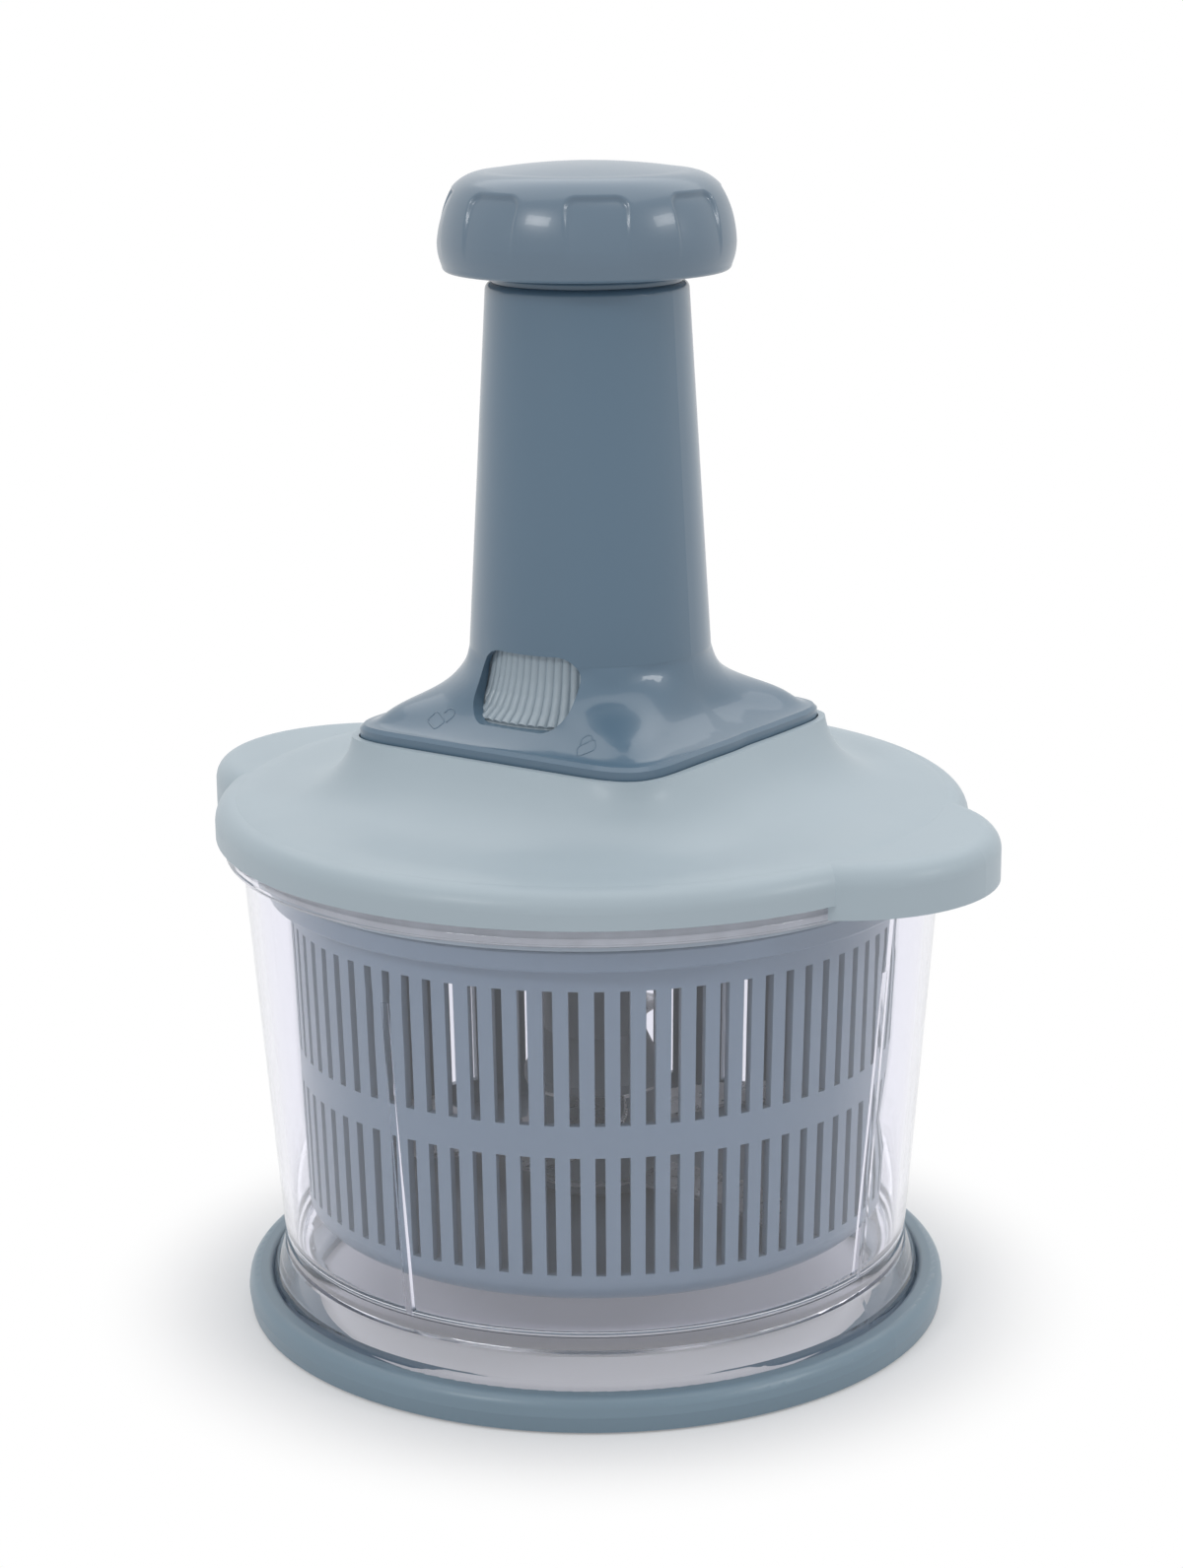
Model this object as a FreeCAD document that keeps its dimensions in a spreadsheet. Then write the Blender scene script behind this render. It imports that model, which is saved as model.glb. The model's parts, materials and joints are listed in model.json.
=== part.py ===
import FreeCAD, Part
import math
import os

import Sketcher
from FreeCAD import Vector

# Press-type food chopper with a slotted spinning basket.
# Millimetres, +Z up. The origin is on the table, on the axis that the bowl, the basket,
# the blades and the press column share. The two lid tabs lie along X and the thumb
# slider faces -Y.

SIZES = {
    # clearances
    "seat_gap": 0.2,            # between pieces that rest loosely on each other
    "run_gap": 0.06,            # radial clearance of a running fit
    "press_gap": 0.02,          # radial clearance of a pin or screw in its hole
    "pass_gap": 0.4,            # between pieces that slide past each other freely
    # base tray and its feet
    "tray_radius": 95.5,
    "tray_height": 9.6,
    "tray_ring": 6.7,           # width of the rim ring
    "tray_wall": 2.2,
    "tray_floor": 2.4,
    "tray_lift": 0.6,           # tray underside above the table
    "tray_round": 3.0,
    "tray_ledge": 10.8,         # width of the ledge that the bowl stands on
    "foot_radius": 4.5,
    "foot_sink": 1.2,           # depth of the pocket that holds a foot
    "foot_circle": 84.0,        # distance of the feet from the axis
    # bowl
    "bowl_wall": 2.6,
    "bowl_foot_height": 7.0,    # straight part of the foot skirt
    "bowl_flare_height": 6.5,   # sloping part of the foot skirt
    "bowl_floor": 2.6,
    "bowl_bottom_radius": 85.0,
    "bowl_inside_floor": 20.0,  # height of the inside floor above the table
    "bowl_flange_radius": 97.8,
    "bowl_flange": 4.8,
    "bowl_rim_radius": 93.4,    # outside of the wall under the flange
    "bowl_top": 132.8,
    "bowl_floor_round": 5.0,
    "bowl_rib_depth": 1.8,      # how far a rib stands in from the wall at the floor
    "bowl_rib_width": 2.0,
    "bowl_rib_top": 107.0,
    "pin_radius": 4.0,
    "pin_top": 56.0,
    "pin_sink": 1.6,            # length of the pin held in the bowl's floor
    "pin_collar_radius": 10.0,
    "pin_collar": 5.0,          # height of the collar that the basket stands on
    # basket
    "basket_bottom_radius": 78.2,
    "basket_rim_radius": 81.3,
    "basket_wall": 2.2,
    "basket_bottom": 28.0,
    "basket_round": 6.0,
    "basket_rim_low": 118.6,
    "basket_rim_edge": 86.9,
    "basket_lip": 5.6,          # height of the rolled rim
    "slot_width": 2.5,
    "slot_count": 80,
    "lower_slot_low": 36.0,
    "lower_slot_high": 68.0,
    "upper_slot_low": 76.5,
    "upper_slot_high": 112.0,
    "post_radius": 10.2,
    "post_top_radius": 9.4,
    "post_top": 60.0,
    "post_cover": 3.6,          # thickness over the pin
    "nub_radius": 3.0,
    "nub_height": 4.0,
    # blade unit
    "carrier_radius": 13.5,
    "carrier_bore": 11.6,
    "carrier_hole": 7.0,
    "carrier_bottom": 32.6,
    "carrier_web": 6.8,
    "carrier_collar": 19.0,
    "collar_underside": 62.0,
    "collar_edge": 2.4,
    "collar_slope": 12.0,
    "carrier_shoulder": 131.0,
    "hex_flats": 20.0,
    "hex_height": 12.0,
    "blade_thickness": 1.2,
    "blade_reach": 72.0,
    "blade_hub": 18.5,
    "blade_root": 9.0,          # half width of a blade at its root
    "blade_tip": 4.5,           # half width of a blade near its tip
    "blade_sweep": 12.0,        # how far the tip trails the root
    "blade_bevel": 0.5,
    "blade_step_angle": 60.0,   # turn from one blade to the next
    "spacer_height": 11.2,
    "spacer_radius": 17.0,
    "clamp_height": 3.0,
    "clamp_radius": 17.5,
    # lid
    "lid_radius": 100.0,
    "lid_edge": 9.5,            # height of the rim, with its rounded edge
    "lid_edge_round": 5.5,
    "lid_wall": 2.6,
    "lid_seat": 4.1,            # rim wall that rests on the bowl's flange
    "join_step": 0.05,          # step in where a moulded form meets a round one
    "lid_boss_side": 49.4,      # middle of a side of the square boss
    "lid_boss_corner": 63.6,    # corner of the square boss
    "lid_boss_top": 159.6,
    "lid_floor": 2.6,
    "lid_floor_top": 156.2,
    "lid_hole": 16.0,
    "skirt_height": 14.9,
    "skirt_wall": 2.2,
    "skirt_gap": 0.9,           # between the skirt and the bowl
    "seal_height": 3.6,
    "seal_depth": 1.2,
    "seal_up": 1.8,             # seal above the skirt's lower edge
    "tab_reach": 115.6,
    "tab_radius": 41.3,         # of the round lobe that each tab is
    "tab_height": 13.3,
    "tab_turn": 3.0,            # angle of the tabs from the X axis
    # column
    "base_side": 47.0,
    "base_corner": 61.4,
    "base_edge": 6.4,           # height of the upright edge of the square base
    "base_round_in": 1.0,       # how far the edge rounds in at its top
    "flare_top": 182.0,
    "column_low_radius": 31.8,  # at the top of the flare
    "column_top_radius": 26.2,
    "column_top": 276.8,
    "column_wall": 2.6,
    "column_round": 2.0,
    "cavity_radius": 43.0,
    "window_angle": -87.0,
    "window_width": 30.0,
    "window_low": 166.5,
    "window_high": 184.5,
    "window_round": 6.5,
    # base plate and its screws
    "plate_thickness": 2.5,
    "plate_side": 44.0,         # middle of a side of the square plate
    "plate_round": 11.6,        # radius of the plate's corners
    "plate_hub_radius": 15.5,
    "plate_hub_drop": 6.4,
    "boss_radius": 4.5,
    "boss_height": 3.4,
    "lid_screw_circle": 38.0,
    "plate_screw_circle": 50.0,
    "screw_radius": 1.9,
    "screw_head_radius": 3.4,
    "screw_head": 2.2,
    "screw_length": 7.4,
    # output shaft and clutch
    "journal_radius": 11.0,
    "washer_thickness": 1.0,
    "washer_radius": 17.0,
    "clutch_radius": 18.0,
    "clutch_disc": 3.0,
    "tooth_height": 2.2,
    "tooth_count": 8,
    "tooth_inner": 10.0,
    "tooth_set_in": 1.0,        # how far a tooth ends inside the rim of its disc
    "driver_neck": 8.0,
    "driver_height": 5.0,
    "socket_radius": 15.0,
    "socket_web": 3.0,
    "housing_outer": 25.9,
    "housing_inner": 19.0,
    "housing_web": 2.7,
    # twisted rod, nut and plunger
    "rod_width": 17.0,
    "rod_thickness": 3.4,
    "rod_stub": 5.0,
    "rod_top": 262.0,
    "rod_lead": 45.0,           # rod height for one full turn
    "spigot_radius": 1.6,
    "spigot_height": 1.6,
    "tube_radius": 14.0,
    "tube_bore": 11.6,
    "tube_top": 298.0,
    "tube_web": 3.0,
    "tube_clear": 1.8,          # between the driver and the lowered tube
    "nut_height": 10.0,
    "rod_gap": 0.15,            # round the rod in the nut's slot
    "spring_radius": 9.0,
    "spring_wire": 1.5,
    "spring_turns": 7,
    "spring_seat": 2.4,
    "spring_seat_radius": 10.6,
    # guide bush at the top of the column
    "bush_flange": 1.8,
    "bush_flange_radius": 24.6,
    "bush_depth": 9.6,
    # thumb slider
    "ring_thickness": 2.0,
    "ring_web_low": 176.5,
    "ring_web": 2.5,
    "ring_hole": 14.4,
    "latch_width": 4.0,
    "latch_reach": 12.2,
    "latch_angle": 18.0,        # turn from open to locked
    "pad_low": 166.2,
    "pad_high": 190.0,
    "pad_depth": 1.2,
    "pad_rib_height": 0.8,
    "pad_rib_pitch": 4.4,       # degrees from one rib to the next
    "pad_rib_count": 17,
    # press cap
    "cap_radius": 38.55,        # at the widest height
    "cap_low": 279.5,
    "cap_wide": 287.0,          # height of the widest ring
    "cap_top": 306.8,
    "cap_wall": 2.6,
    "cap_crown_radius": 26.0,   # where the crown meets the shoulder
    "cap_crown_drop": 2.1,
    "cap_shoulder_radius": 36.4,
    "cap_shoulder_drop": 9.3,
    "cap_hem_radius": 37.2,     # bottom of the cap's side
    "cap_hem": 1.5,             # height of the rounded hem
    "cap_boss_wall": 2.8,
    "scoop_count": 8,           # hollows round the cap's shoulder
    "scoop_half_angle": 14.0,
    "scoop_first": -55.0,       # direction of the first hollow
    "scoop_depth": 1.0,
    "cover_thickness": 2.2,
    "cover_inset": 1.1,
    "cover_hub_radius": 21.5,
    "cap_screw_radius": 2.2,
    "cap_screw_head": 4.2,
    "cap_screw_length": 6.0,
}

CURVE_POINTS = 24
RIBS = 4
FEET = 4
SCREWS = 4


class Size:
    """A length or angle known both as a number and as an expression on the sheet."""

    def __init__(self, number, text):
        self.number = float(number)
        self.text = text

    def __add__(self, other):
        other = as_size(other)
        return Size(self.number + other.number, f"({self.text} + {other.text})")

    def __sub__(self, other):
        other = as_size(other)
        return Size(self.number - other.number, f"({self.text} - {other.text})")

    def __mul__(self, other):
        other = as_size(other)
        return Size(self.number * other.number, f"({self.text} * {other.text})")

    def __truediv__(self, other):
        other = as_size(other)
        return Size(self.number / other.number, f"({self.text} / {other.text})")

    def __neg__(self):
        return Size(-self.number, f"(0 - {self.text})")

    def __float__(self):
        return self.number


def as_size(value):
    """Return the value as a Size."""
    if isinstance(value, Size):
        return value
    return Size(value, repr(float(value)))


class SizeSheet:
    """The spreadsheet of driving dimensions, each reached by its name."""

    def __init__(self, document, values):
        self.sheet = document.addObject("Spreadsheet::Sheet", "sizes")
        self.known = {}
        for row, (name, value) in enumerate(values.items(), start=1):
            self.sheet.set(f"A{row}", name)
            self.sheet.set(f"B{row}", str(value))
            self.sheet.setAlias(f"B{row}", name)
            self.known[name] = Size(value, f"sizes.{name}")

    def __getattr__(self, name):
        return self.known[name]


doc = FreeCAD.newDocument("food_chopper")
s = SizeSheet(doc, SIZES)
doc.recompute()
parts = []


# ---------------------------------------------------------------- helpers

def keep(feature, label):
    """Name a finished sub-part and put it on the list to be written."""
    feature.Label = label
    parts.append(feature)
    return feature


def new_body(label):
    body = doc.addObject("PartDesign::Body", label)
    return keep(body, label)


def origin_plane(body, role):
    for feature in body.Origin.OriginFeatures:
        if feature.Role == role:
            return feature
    raise ValueError(role)


def new_sketch(body, name, role, offset=None):
    """Start a sketch on one of the body's own planes, moved along the plane's normal."""
    sketch = body.newObject("Sketcher::SketchObject", name)
    sketch.AttachmentSupport = (origin_plane(body, role), [""])
    sketch.MapMode = "FlatFace"
    if offset is not None:
        sketch.setExpression("AttachmentOffset.Base.z", offset.text)
        doc.recompute()
    return sketch


def hold(sketch, kind, element, point, size):
    """Fix one coordinate of a sketch point to an expression."""
    if size.number == 0.0:
        axis = -2 if kind == "DistanceX" else -1
        sketch.addConstraint(Sketcher.Constraint("PointOnObject", element, point, axis))
        return
    index = sketch.addConstraint(Sketcher.Constraint(kind, element, point, size.number))
    sketch.setExpression(f"Constraints[{index}]", size.text)


def draw_outline(sketch, corners):
    """Draw a closed outline whose corners are each held by their two coordinates."""
    first = sketch.GeometryCount
    corners = [(as_size(x), as_size(y)) for x, y in corners]
    count = len(corners)
    for index, (x, y) in enumerate(corners):
        next_x, next_y = corners[(index + 1) % count]
        start = Vector(x.number, y.number, 0)
        end = Vector(next_x.number, next_y.number, 0)
        sketch.addGeometry(Part.LineSegment(start, end), False)
    for index in range(count):
        following = first + (index + 1) % count
        sketch.addConstraint(Sketcher.Constraint("Coincident", first + index, 2, following, 1))
    for index, (x, y) in enumerate(corners):
        hold(sketch, "DistanceX", first + index, 1, x)
        hold(sketch, "DistanceY", first + index, 1, y)


def draw_circle(sketch, x, y, radius):
    """Draw a circle with its centre and radius bound to the sheet."""
    x, y, radius = as_size(x), as_size(y), as_size(radius)
    centre = Vector(x.number, y.number, 0)
    element = sketch.addGeometry(Part.Circle(centre, Vector(0, 0, 1), radius.number), False)
    hold(sketch, "DistanceX", element, 3, x)
    hold(sketch, "DistanceY", element, 3, y)
    index = sketch.addConstraint(Sketcher.Constraint("Radius", element, radius.number))
    sketch.setExpression(f"Constraints[{index}]", radius.text)


def ring_edges(shape, radius, height):
    """Names of the round edges of a turned shape at a radius and height."""
    names = []
    for index, edge in enumerate(shape.Edges, start=1):
        curve = edge.Curve
        if not isinstance(curve, Part.Circle):
            continue
        near_radius = abs(curve.Radius - float(radius)) < 0.001
        if near_radius and abs(curve.Center.z - float(height)) < 0.001:
            names.append(f"Edge{index}")
    return names


def dress_rings(body, kind, rings, amount):
    """Fillet or chamfer the round edges of a body at the given radii and heights."""
    doc.recompute()
    base = body.Tip
    names = []
    for radius, height in rings:
        names.extend(ring_edges(base.Shape, radius, height))
    if len(names) < len(rings):
        raise ValueError(f"{body.Label}: an edge to dress is missing")
    feature = body.newObject(f"PartDesign::{kind}", f"{body.Label}_{kind.lower()}")
    feature.Base = (base, names)
    bound = "Radius" if kind == "Fillet" else "Size"
    feature.setExpression(bound, as_size(amount).text)
    body.Tip = feature
    return feature


def turned(label, corners, rounds=()):
    """A body turned about the vertical axis; rounds lists (rings, radius) to fillet."""
    body = new_body(label)
    sketch = new_sketch(body, f"{label}_profile", "XZ_Plane")
    draw_outline(sketch, corners)
    turn = body.newObject("PartDesign::Revolution", f"{label}_turn")
    turn.Profile = sketch
    turn.ReferenceAxis = (sketch, ["V_Axis"])
    turn.Angle = 360
    body.Tip = turn
    for rings, radius in rounds:
        dress_rings(body, "Fillet", rings, radius)
    return body


def plain_ring(label, inner, outer, low, high, rounds=()):
    """A turned ring, disc or tube with flat ends."""
    return turned(label, [(inner, low), (outer, low), (outer, high), (inner, high)], rounds)


def cut_down(body, name, sketch, depth):
    """Pocket a horizontal sketch downwards by a depth and check that it removes material."""
    doc.recompute()
    before = body.Tip.Shape.Volume
    pocket = body.newObject("PartDesign::Pocket", name)
    pocket.Profile = sketch
    pocket.setExpression("Length", as_size(depth).text)
    body.Tip = pocket
    doc.recompute()
    if pocket.Shape.Volume >= before:
        raise ValueError(f"{name} removes nothing")
    return pocket


def spread(body, feature, count):
    """Repeat a feature of the body evenly round the vertical axis."""
    pattern = body.newObject("PartDesign::PolarPattern", f"{feature.Name}_spread")
    pattern.Originals = [feature]
    pattern.Axis = (origin_plane(body, "Z_Axis"), [""])
    pattern.Angle = 360
    count = as_size(count)
    if count.text.startswith("sizes"):
        pattern.setExpression("Occurrences", count.text)
    else:
        pattern.Occurrences = int(float(count))
    body.Tip = pattern
    doc.recompute()
    return pattern


def solid(label, shape):
    """Keep a shape worked out from the sizes as a sub-part."""
    feature = doc.addObject("Part::Feature", label)
    feature.Shape = shape
    return keep(feature, label)


def place_round(shape, radius, count, start=0.0):
    """Copies of a shape moved out to a circle round the axis."""
    copies = []
    for index in range(count):
        copy = shape.copy()
        copy.translate(Vector(float(radius), 0, 0))
        turn = start + 360.0 * index / count
        copy.rotate(Vector(0, 0, 0), Vector(0, 0, 1), turn)
        copies.append(copy)
    return copies


def cylinder(radius, low, high):
    return Part.makeCylinder(float(radius), float(high) - float(low), Vector(0, 0, float(low)))


def squared_ring(side, corner, height):
    """Closed curve: a circle where side and corner are equal, else a rounded square."""
    side, corner = float(side), float(corner)
    power = 1.0 / (0.5 - math.log2(corner / side))
    points = []
    for step in range(CURVE_POINTS):
        angle = 2.0 * math.pi * step / CURVE_POINTS
        across = abs(math.cos(angle)) ** power
        along = abs(math.sin(angle)) ** power
        radius = side * (across + along) ** (-1.0 / power)
        points.append(Vector(radius * math.cos(angle), radius * math.sin(angle), float(height)))
    curve = Part.BSplineCurve()
    knots = [step / CURVE_POINTS for step in range(CURVE_POINTS + 1)]
    curve.interpolate(Points=points, Parameters=knots, PeriodicFlag=True)
    return Part.Wire([curve.toShape()])


def squared_loft(sections):
    """Smooth solid through rounded squares given as (height, side, corner)."""
    wires = [squared_ring(side, corner, height) for height, side, corner in sections]
    return Part.makeLoft(wires, True, False)


def squared_prism(side, corner, low, high):
    """Upright solid with a rounded square outline."""
    face = Part.Face(squared_ring(side, corner, low))
    return face.extrude(Vector(0, 0, float(high) - float(low)))


def rounded_box(side, radius, low, high):
    """Upright square block with round corners, by the middle of a side and a radius."""
    side, height = float(side), float(high) - float(low)
    box = Part.makeBox(side * 2, side * 2, height, Vector(-side, -side, float(low)))
    uprights = [edge for edge in box.Edges if edge.BoundBox.ZLength > height / 2]
    return box.makeFillet(float(radius), uprights)


def turned_shape(corners, angle=360.0, start=0.0):
    """Solid turned about the vertical axis through an angle, from a start direction."""
    points = [Vector(float(x), 0, float(z)) for x, z in corners]
    points.append(points[0])
    face = Part.Face(Part.makePolygon(points))
    shape = face.revolve(Vector(0, 0, 0), Vector(0, 0, 1), angle)
    shape.rotate(Vector(0, 0, 0), Vector(0, 0, 1), start)
    return shape


def wedge(reach, half_angle, low, high):
    """Upright wedge with its point on the axis, that opens to both sides of +X."""
    angle = math.radians(half_angle)
    half_width = reach * math.tan(angle)
    points = [Vector(0, 0, low), Vector(reach, -half_width, low), Vector(reach, half_width, low)]
    face = Part.Face(Part.makePolygon(points + [points[0]]))
    return face.extrude(Vector(0, 0, high - low))


def between(low, high, share):
    return low + (high - low) * share


# ---------------------------------------------------------------- levels that pieces share

foot_pocket_top = s.tray_lift + s.foot_sink
tray_floor_top = s.tray_lift + s.tray_floor
tray_inner = s.tray_radius - s.tray_ring
tray_opening = tray_inner - s.tray_ledge
bowl_seat = tray_floor_top + s.seat_gap
bowl_foot_radius = tray_inner - s.pass_gap
bowl_floor_under = s.bowl_inside_floor - s.bowl_floor
pin_collar_top = s.bowl_inside_floor + s.pin_collar
pin_bottom = s.bowl_inside_floor - s.pin_sink
bowl_inner_low = s.bowl_bottom_radius - s.bowl_wall
bowl_inner_high = s.bowl_rim_radius - s.bowl_wall
bowl_flange_low = s.bowl_top - s.bowl_flange
basket_floor_top = s.basket_bottom + s.basket_wall
blade_upper_low = s.collar_underside - s.blade_thickness
blade_middle_low = blade_upper_low - s.spacer_height - s.blade_thickness
blade_lower_low = blade_middle_low - s.spacer_height - s.blade_thickness
clamp_low = blade_lower_low - s.clamp_height
hex_top = s.carrier_shoulder + s.hex_height
lid_low = s.bowl_top + s.seat_gap
lid_edge_top = lid_low + s.lid_edge
skirt_low = lid_edge_top - s.lid_wall - s.skirt_height
skirt_outer = between(bowl_inner_low, bowl_inner_high, 0.93) - s.skirt_gap
column_low = s.lid_floor_top + s.seat_gap
plate_top = column_low + s.plate_thickness
plate_hub_low = column_low - s.plate_hub_drop
washer_top = plate_top + s.washer_thickness
output_disc_low = washer_top + s.run_gap
output_disc_top = output_disc_low + s.clutch_disc
driver_low = output_disc_top + s.seat_gap
driver_disc_top = driver_low + s.driver_height
housing_web_low = driver_disc_top + s.seat_gap
housing_top = housing_web_low + s.housing_web
driver_top = housing_top + s.run_gap
socket_low = s.carrier_shoulder + s.pass_gap
socket_web_low = hex_top + s.pass_gap + s.pass_gap
socket_top = socket_web_low + s.socket_web
rod_bottom = driver_low + s.tooth_height
tube_low = driver_top + s.tube_clear
spring_low = s.rod_top + s.spring_seat
spring_high = s.tube_top - s.tube_web
bush_top = s.column_top + s.bush_flange
cover_hub_low = bush_top + s.seat_gap
cover_low = s.cap_low + s.cover_inset
cover_top = cover_low + s.cover_thickness
ring_low = plate_top + s.seat_gap
ring_inner = s.housing_outer + s.run_gap
ring_outer = ring_inner + s.ring_thickness
column_slope = (s.column_low_radius - s.column_top_radius) / (s.column_top - s.flare_top)


def column_radius(height):
    """Outside radius of the round column at a height above the flare."""
    return s.column_low_radius - column_slope * (height - s.flare_top)


# ---------------------------------------------------------------- base tray and feet

def make_base_tray():
    channel_inner = tray_inner + s.tray_wall
    channel_outer = s.tray_radius - s.tray_wall
    channel_top = s.tray_height - s.tray_wall
    corners = [
        (tray_opening, s.tray_lift),
        (channel_inner, s.tray_lift),
        (channel_inner, channel_top),
        (channel_outer, channel_top),
        (channel_outer, s.tray_lift),
        (s.tray_radius - s.tray_lift, s.tray_lift),
        (s.tray_radius, s.tray_height / 2),
        (s.tray_radius - s.tray_lift, s.tray_height),
        (tray_inner, s.tray_height),
        (tray_inner, tray_floor_top),
        (tray_opening, tray_floor_top),
    ]
    top_outer = [(s.tray_radius - s.tray_lift, s.tray_height)]
    top_inner = [(tray_inner, s.tray_height)]
    body = turned("base_tray", corners, [
        (top_outer, s.tray_round),
        (top_inner, s.tray_round / 2),
    ])
    sketch = new_sketch(body, "foot_pocket_outline", "XY_Plane", foot_pocket_top)
    draw_circle(sketch, s.foot_circle, 0, s.foot_radius + s.press_gap)
    pocket = cut_down(body, "foot_pocket", sketch, s.foot_sink + s.tray_lift)
    spread(body, pocket, FEET)


def make_feet():
    foot = cylinder(s.foot_radius, 0, foot_pocket_top)
    lower = [edge for edge in foot.Edges if edge.BoundBox.ZMax < 0.001]
    foot = foot.makeChamfer(float(s.tray_lift) / 2, lower)
    solid("rubber_feet", Part.makeCompound(place_round(foot, s.foot_circle, FEET)))


# ---------------------------------------------------------------- bowl

def make_bowl():
    skirt_inner = bowl_foot_radius - s.bowl_wall
    flare_low = bowl_seat + s.bowl_foot_height
    flare_high = flare_low + s.bowl_flare_height
    corners = [
        (0, bowl_floor_under),
        (bowl_inner_low, bowl_floor_under),
        (s.bowl_bottom_radius - s.bowl_wall * 0.6, flare_high),
        (skirt_inner, flare_low),
        (skirt_inner, bowl_seat),
        (bowl_foot_radius, bowl_seat),
        (bowl_foot_radius, flare_low),
        (s.bowl_bottom_radius + s.pass_gap, flare_high),
        (s.bowl_bottom_radius, s.bowl_inside_floor),
        (s.bowl_rim_radius, bowl_flange_low),
        (s.bowl_flange_radius, bowl_flange_low),
        (s.bowl_flange_radius, s.bowl_top),
        (bowl_inner_high, s.bowl_top),
        (bowl_inner_high, bowl_flange_low),
        (bowl_inner_low, s.bowl_inside_floor),
        (s.pin_radius + s.press_gap, s.bowl_inside_floor),
        (s.pin_radius + s.press_gap, pin_bottom),
        (0, pin_bottom),
    ]
    body = turned("bowl", corners, [
        ([(bowl_inner_low, s.bowl_inside_floor)], s.bowl_floor_round),
        ([(bowl_foot_radius, flare_low)], s.bowl_foot_height / 2),
        ([(s.bowl_flange_radius, s.bowl_top), (s.bowl_flange_radius, bowl_flange_low)],
         s.bowl_wall / 3),
    ])
    rib_share = (s.bowl_rib_top - s.bowl_inside_floor) / (bowl_flange_low - s.bowl_inside_floor)
    rib_top_radius = bowl_inner_low + (bowl_inner_high - bowl_inner_low) * rib_share
    bury = s.bowl_wall / 3
    sketch = new_sketch(body, "rib_outline", "XZ_Plane")
    draw_outline(sketch, [
        (bowl_inner_low - s.bowl_rib_depth, bowl_floor_under + bury),
        (bowl_inner_low + bury, bowl_floor_under + bury),
        (rib_top_radius + bury, s.bowl_rib_top),
        (rib_top_radius - bury / 4, s.bowl_rib_top),
    ])
    rib = body.newObject("PartDesign::Pad", "rib")
    rib.Profile = sketch
    rib.setExpression("Length", s.bowl_rib_width.text)
    rib.Midplane = True
    body.Tip = rib
    doc.recompute()
    spread(body, rib, RIBS)


def make_bowl_pin():
    turned("bowl_pin", [
        (0, pin_bottom),
        (s.pin_radius, pin_bottom),
        (s.pin_radius, s.bowl_inside_floor),
        (s.pin_collar_radius, s.bowl_inside_floor),
        (s.pin_collar_radius, pin_collar_top),
        (s.pin_radius, pin_collar_top),
        (s.pin_radius, s.pin_top),
        (0, s.pin_top),
    ], [
        ([(s.pin_radius, s.pin_top)], s.pin_radius / 2),
        ([(s.pin_collar_radius, pin_collar_top)], s.pin_radius / 4),
    ])


# ---------------------------------------------------------------- basket

def make_basket():
    hub_low = pin_collar_top + s.seat_gap
    rim_high = s.basket_rim_low + s.basket_lip
    bore = s.pin_radius + s.run_gap
    inner_low = s.basket_bottom_radius - s.basket_wall
    inner_high = s.basket_rim_radius - s.basket_wall
    corners = [
        (bore, hub_low),
        (s.post_radius, hub_low),
        (s.post_radius, s.basket_bottom),
        (s.basket_bottom_radius, s.basket_bottom),
        (s.basket_rim_radius, s.basket_rim_low),
        (s.basket_rim_edge, s.basket_rim_low),
        (s.basket_rim_edge, rim_high),
        (s.basket_rim_edge - s.basket_wall, rim_high),
        (s.basket_rim_edge - s.basket_wall, s.basket_rim_low + s.basket_wall),
        (inner_high, s.basket_rim_low + s.basket_wall),
        (inner_low, basket_floor_top),
        (s.post_radius, basket_floor_top),
        (s.post_top_radius, s.post_top),
        (s.nub_radius, s.post_top),
        (s.nub_radius, s.post_top + s.nub_height),
        (0, s.post_top + s.nub_height),
        (0, s.post_top - s.post_cover),
        (bore, s.post_top - s.post_cover),
    ]
    body = turned("basket_blank", corners, [
        ([(s.basket_bottom_radius, s.basket_bottom)], s.basket_round),
        ([(inner_low, basket_floor_top)], s.basket_round - s.basket_wall),
        ([(s.basket_rim_edge, rim_high), (s.basket_rim_edge, s.basket_rim_low)],
         s.basket_wall / 3),
    ])
    doc.recompute()
    parts.remove(body)
    solid("basket", body.Shape.cut(slot_cutters()))


def slot_cutters():
    """Upright boxes that open both rows of slots through the basket's wall."""
    width = float(s.slot_width)
    inner = float(s.basket_bottom_radius - s.basket_wall * 3)
    reach = float(s.basket_rim_edge) - inner
    rows = [(s.lower_slot_low, s.lower_slot_high), (s.upper_slot_low, s.upper_slot_high)]
    cutters = []
    for low, high in rows:
        corner = Vector(0, -width / 2, float(low))
        slot = Part.makeBox(reach, width, float(high - low), corner)
        cutters.extend(place_round(slot, inner, int(float(s.slot_count))))
    return cutters


# ---------------------------------------------------------------- blade unit

def draw_hexagon(sketch, flats):
    """Draw a hexagon round the origin by its size across the flats."""
    corner = flats / math.sqrt(3.0)
    points = []
    for index in range(6):
        angle = math.radians(60.0 * index)
        points.append((corner * math.cos(angle), corner * math.sin(angle)))
    draw_outline(sketch, points)


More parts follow.
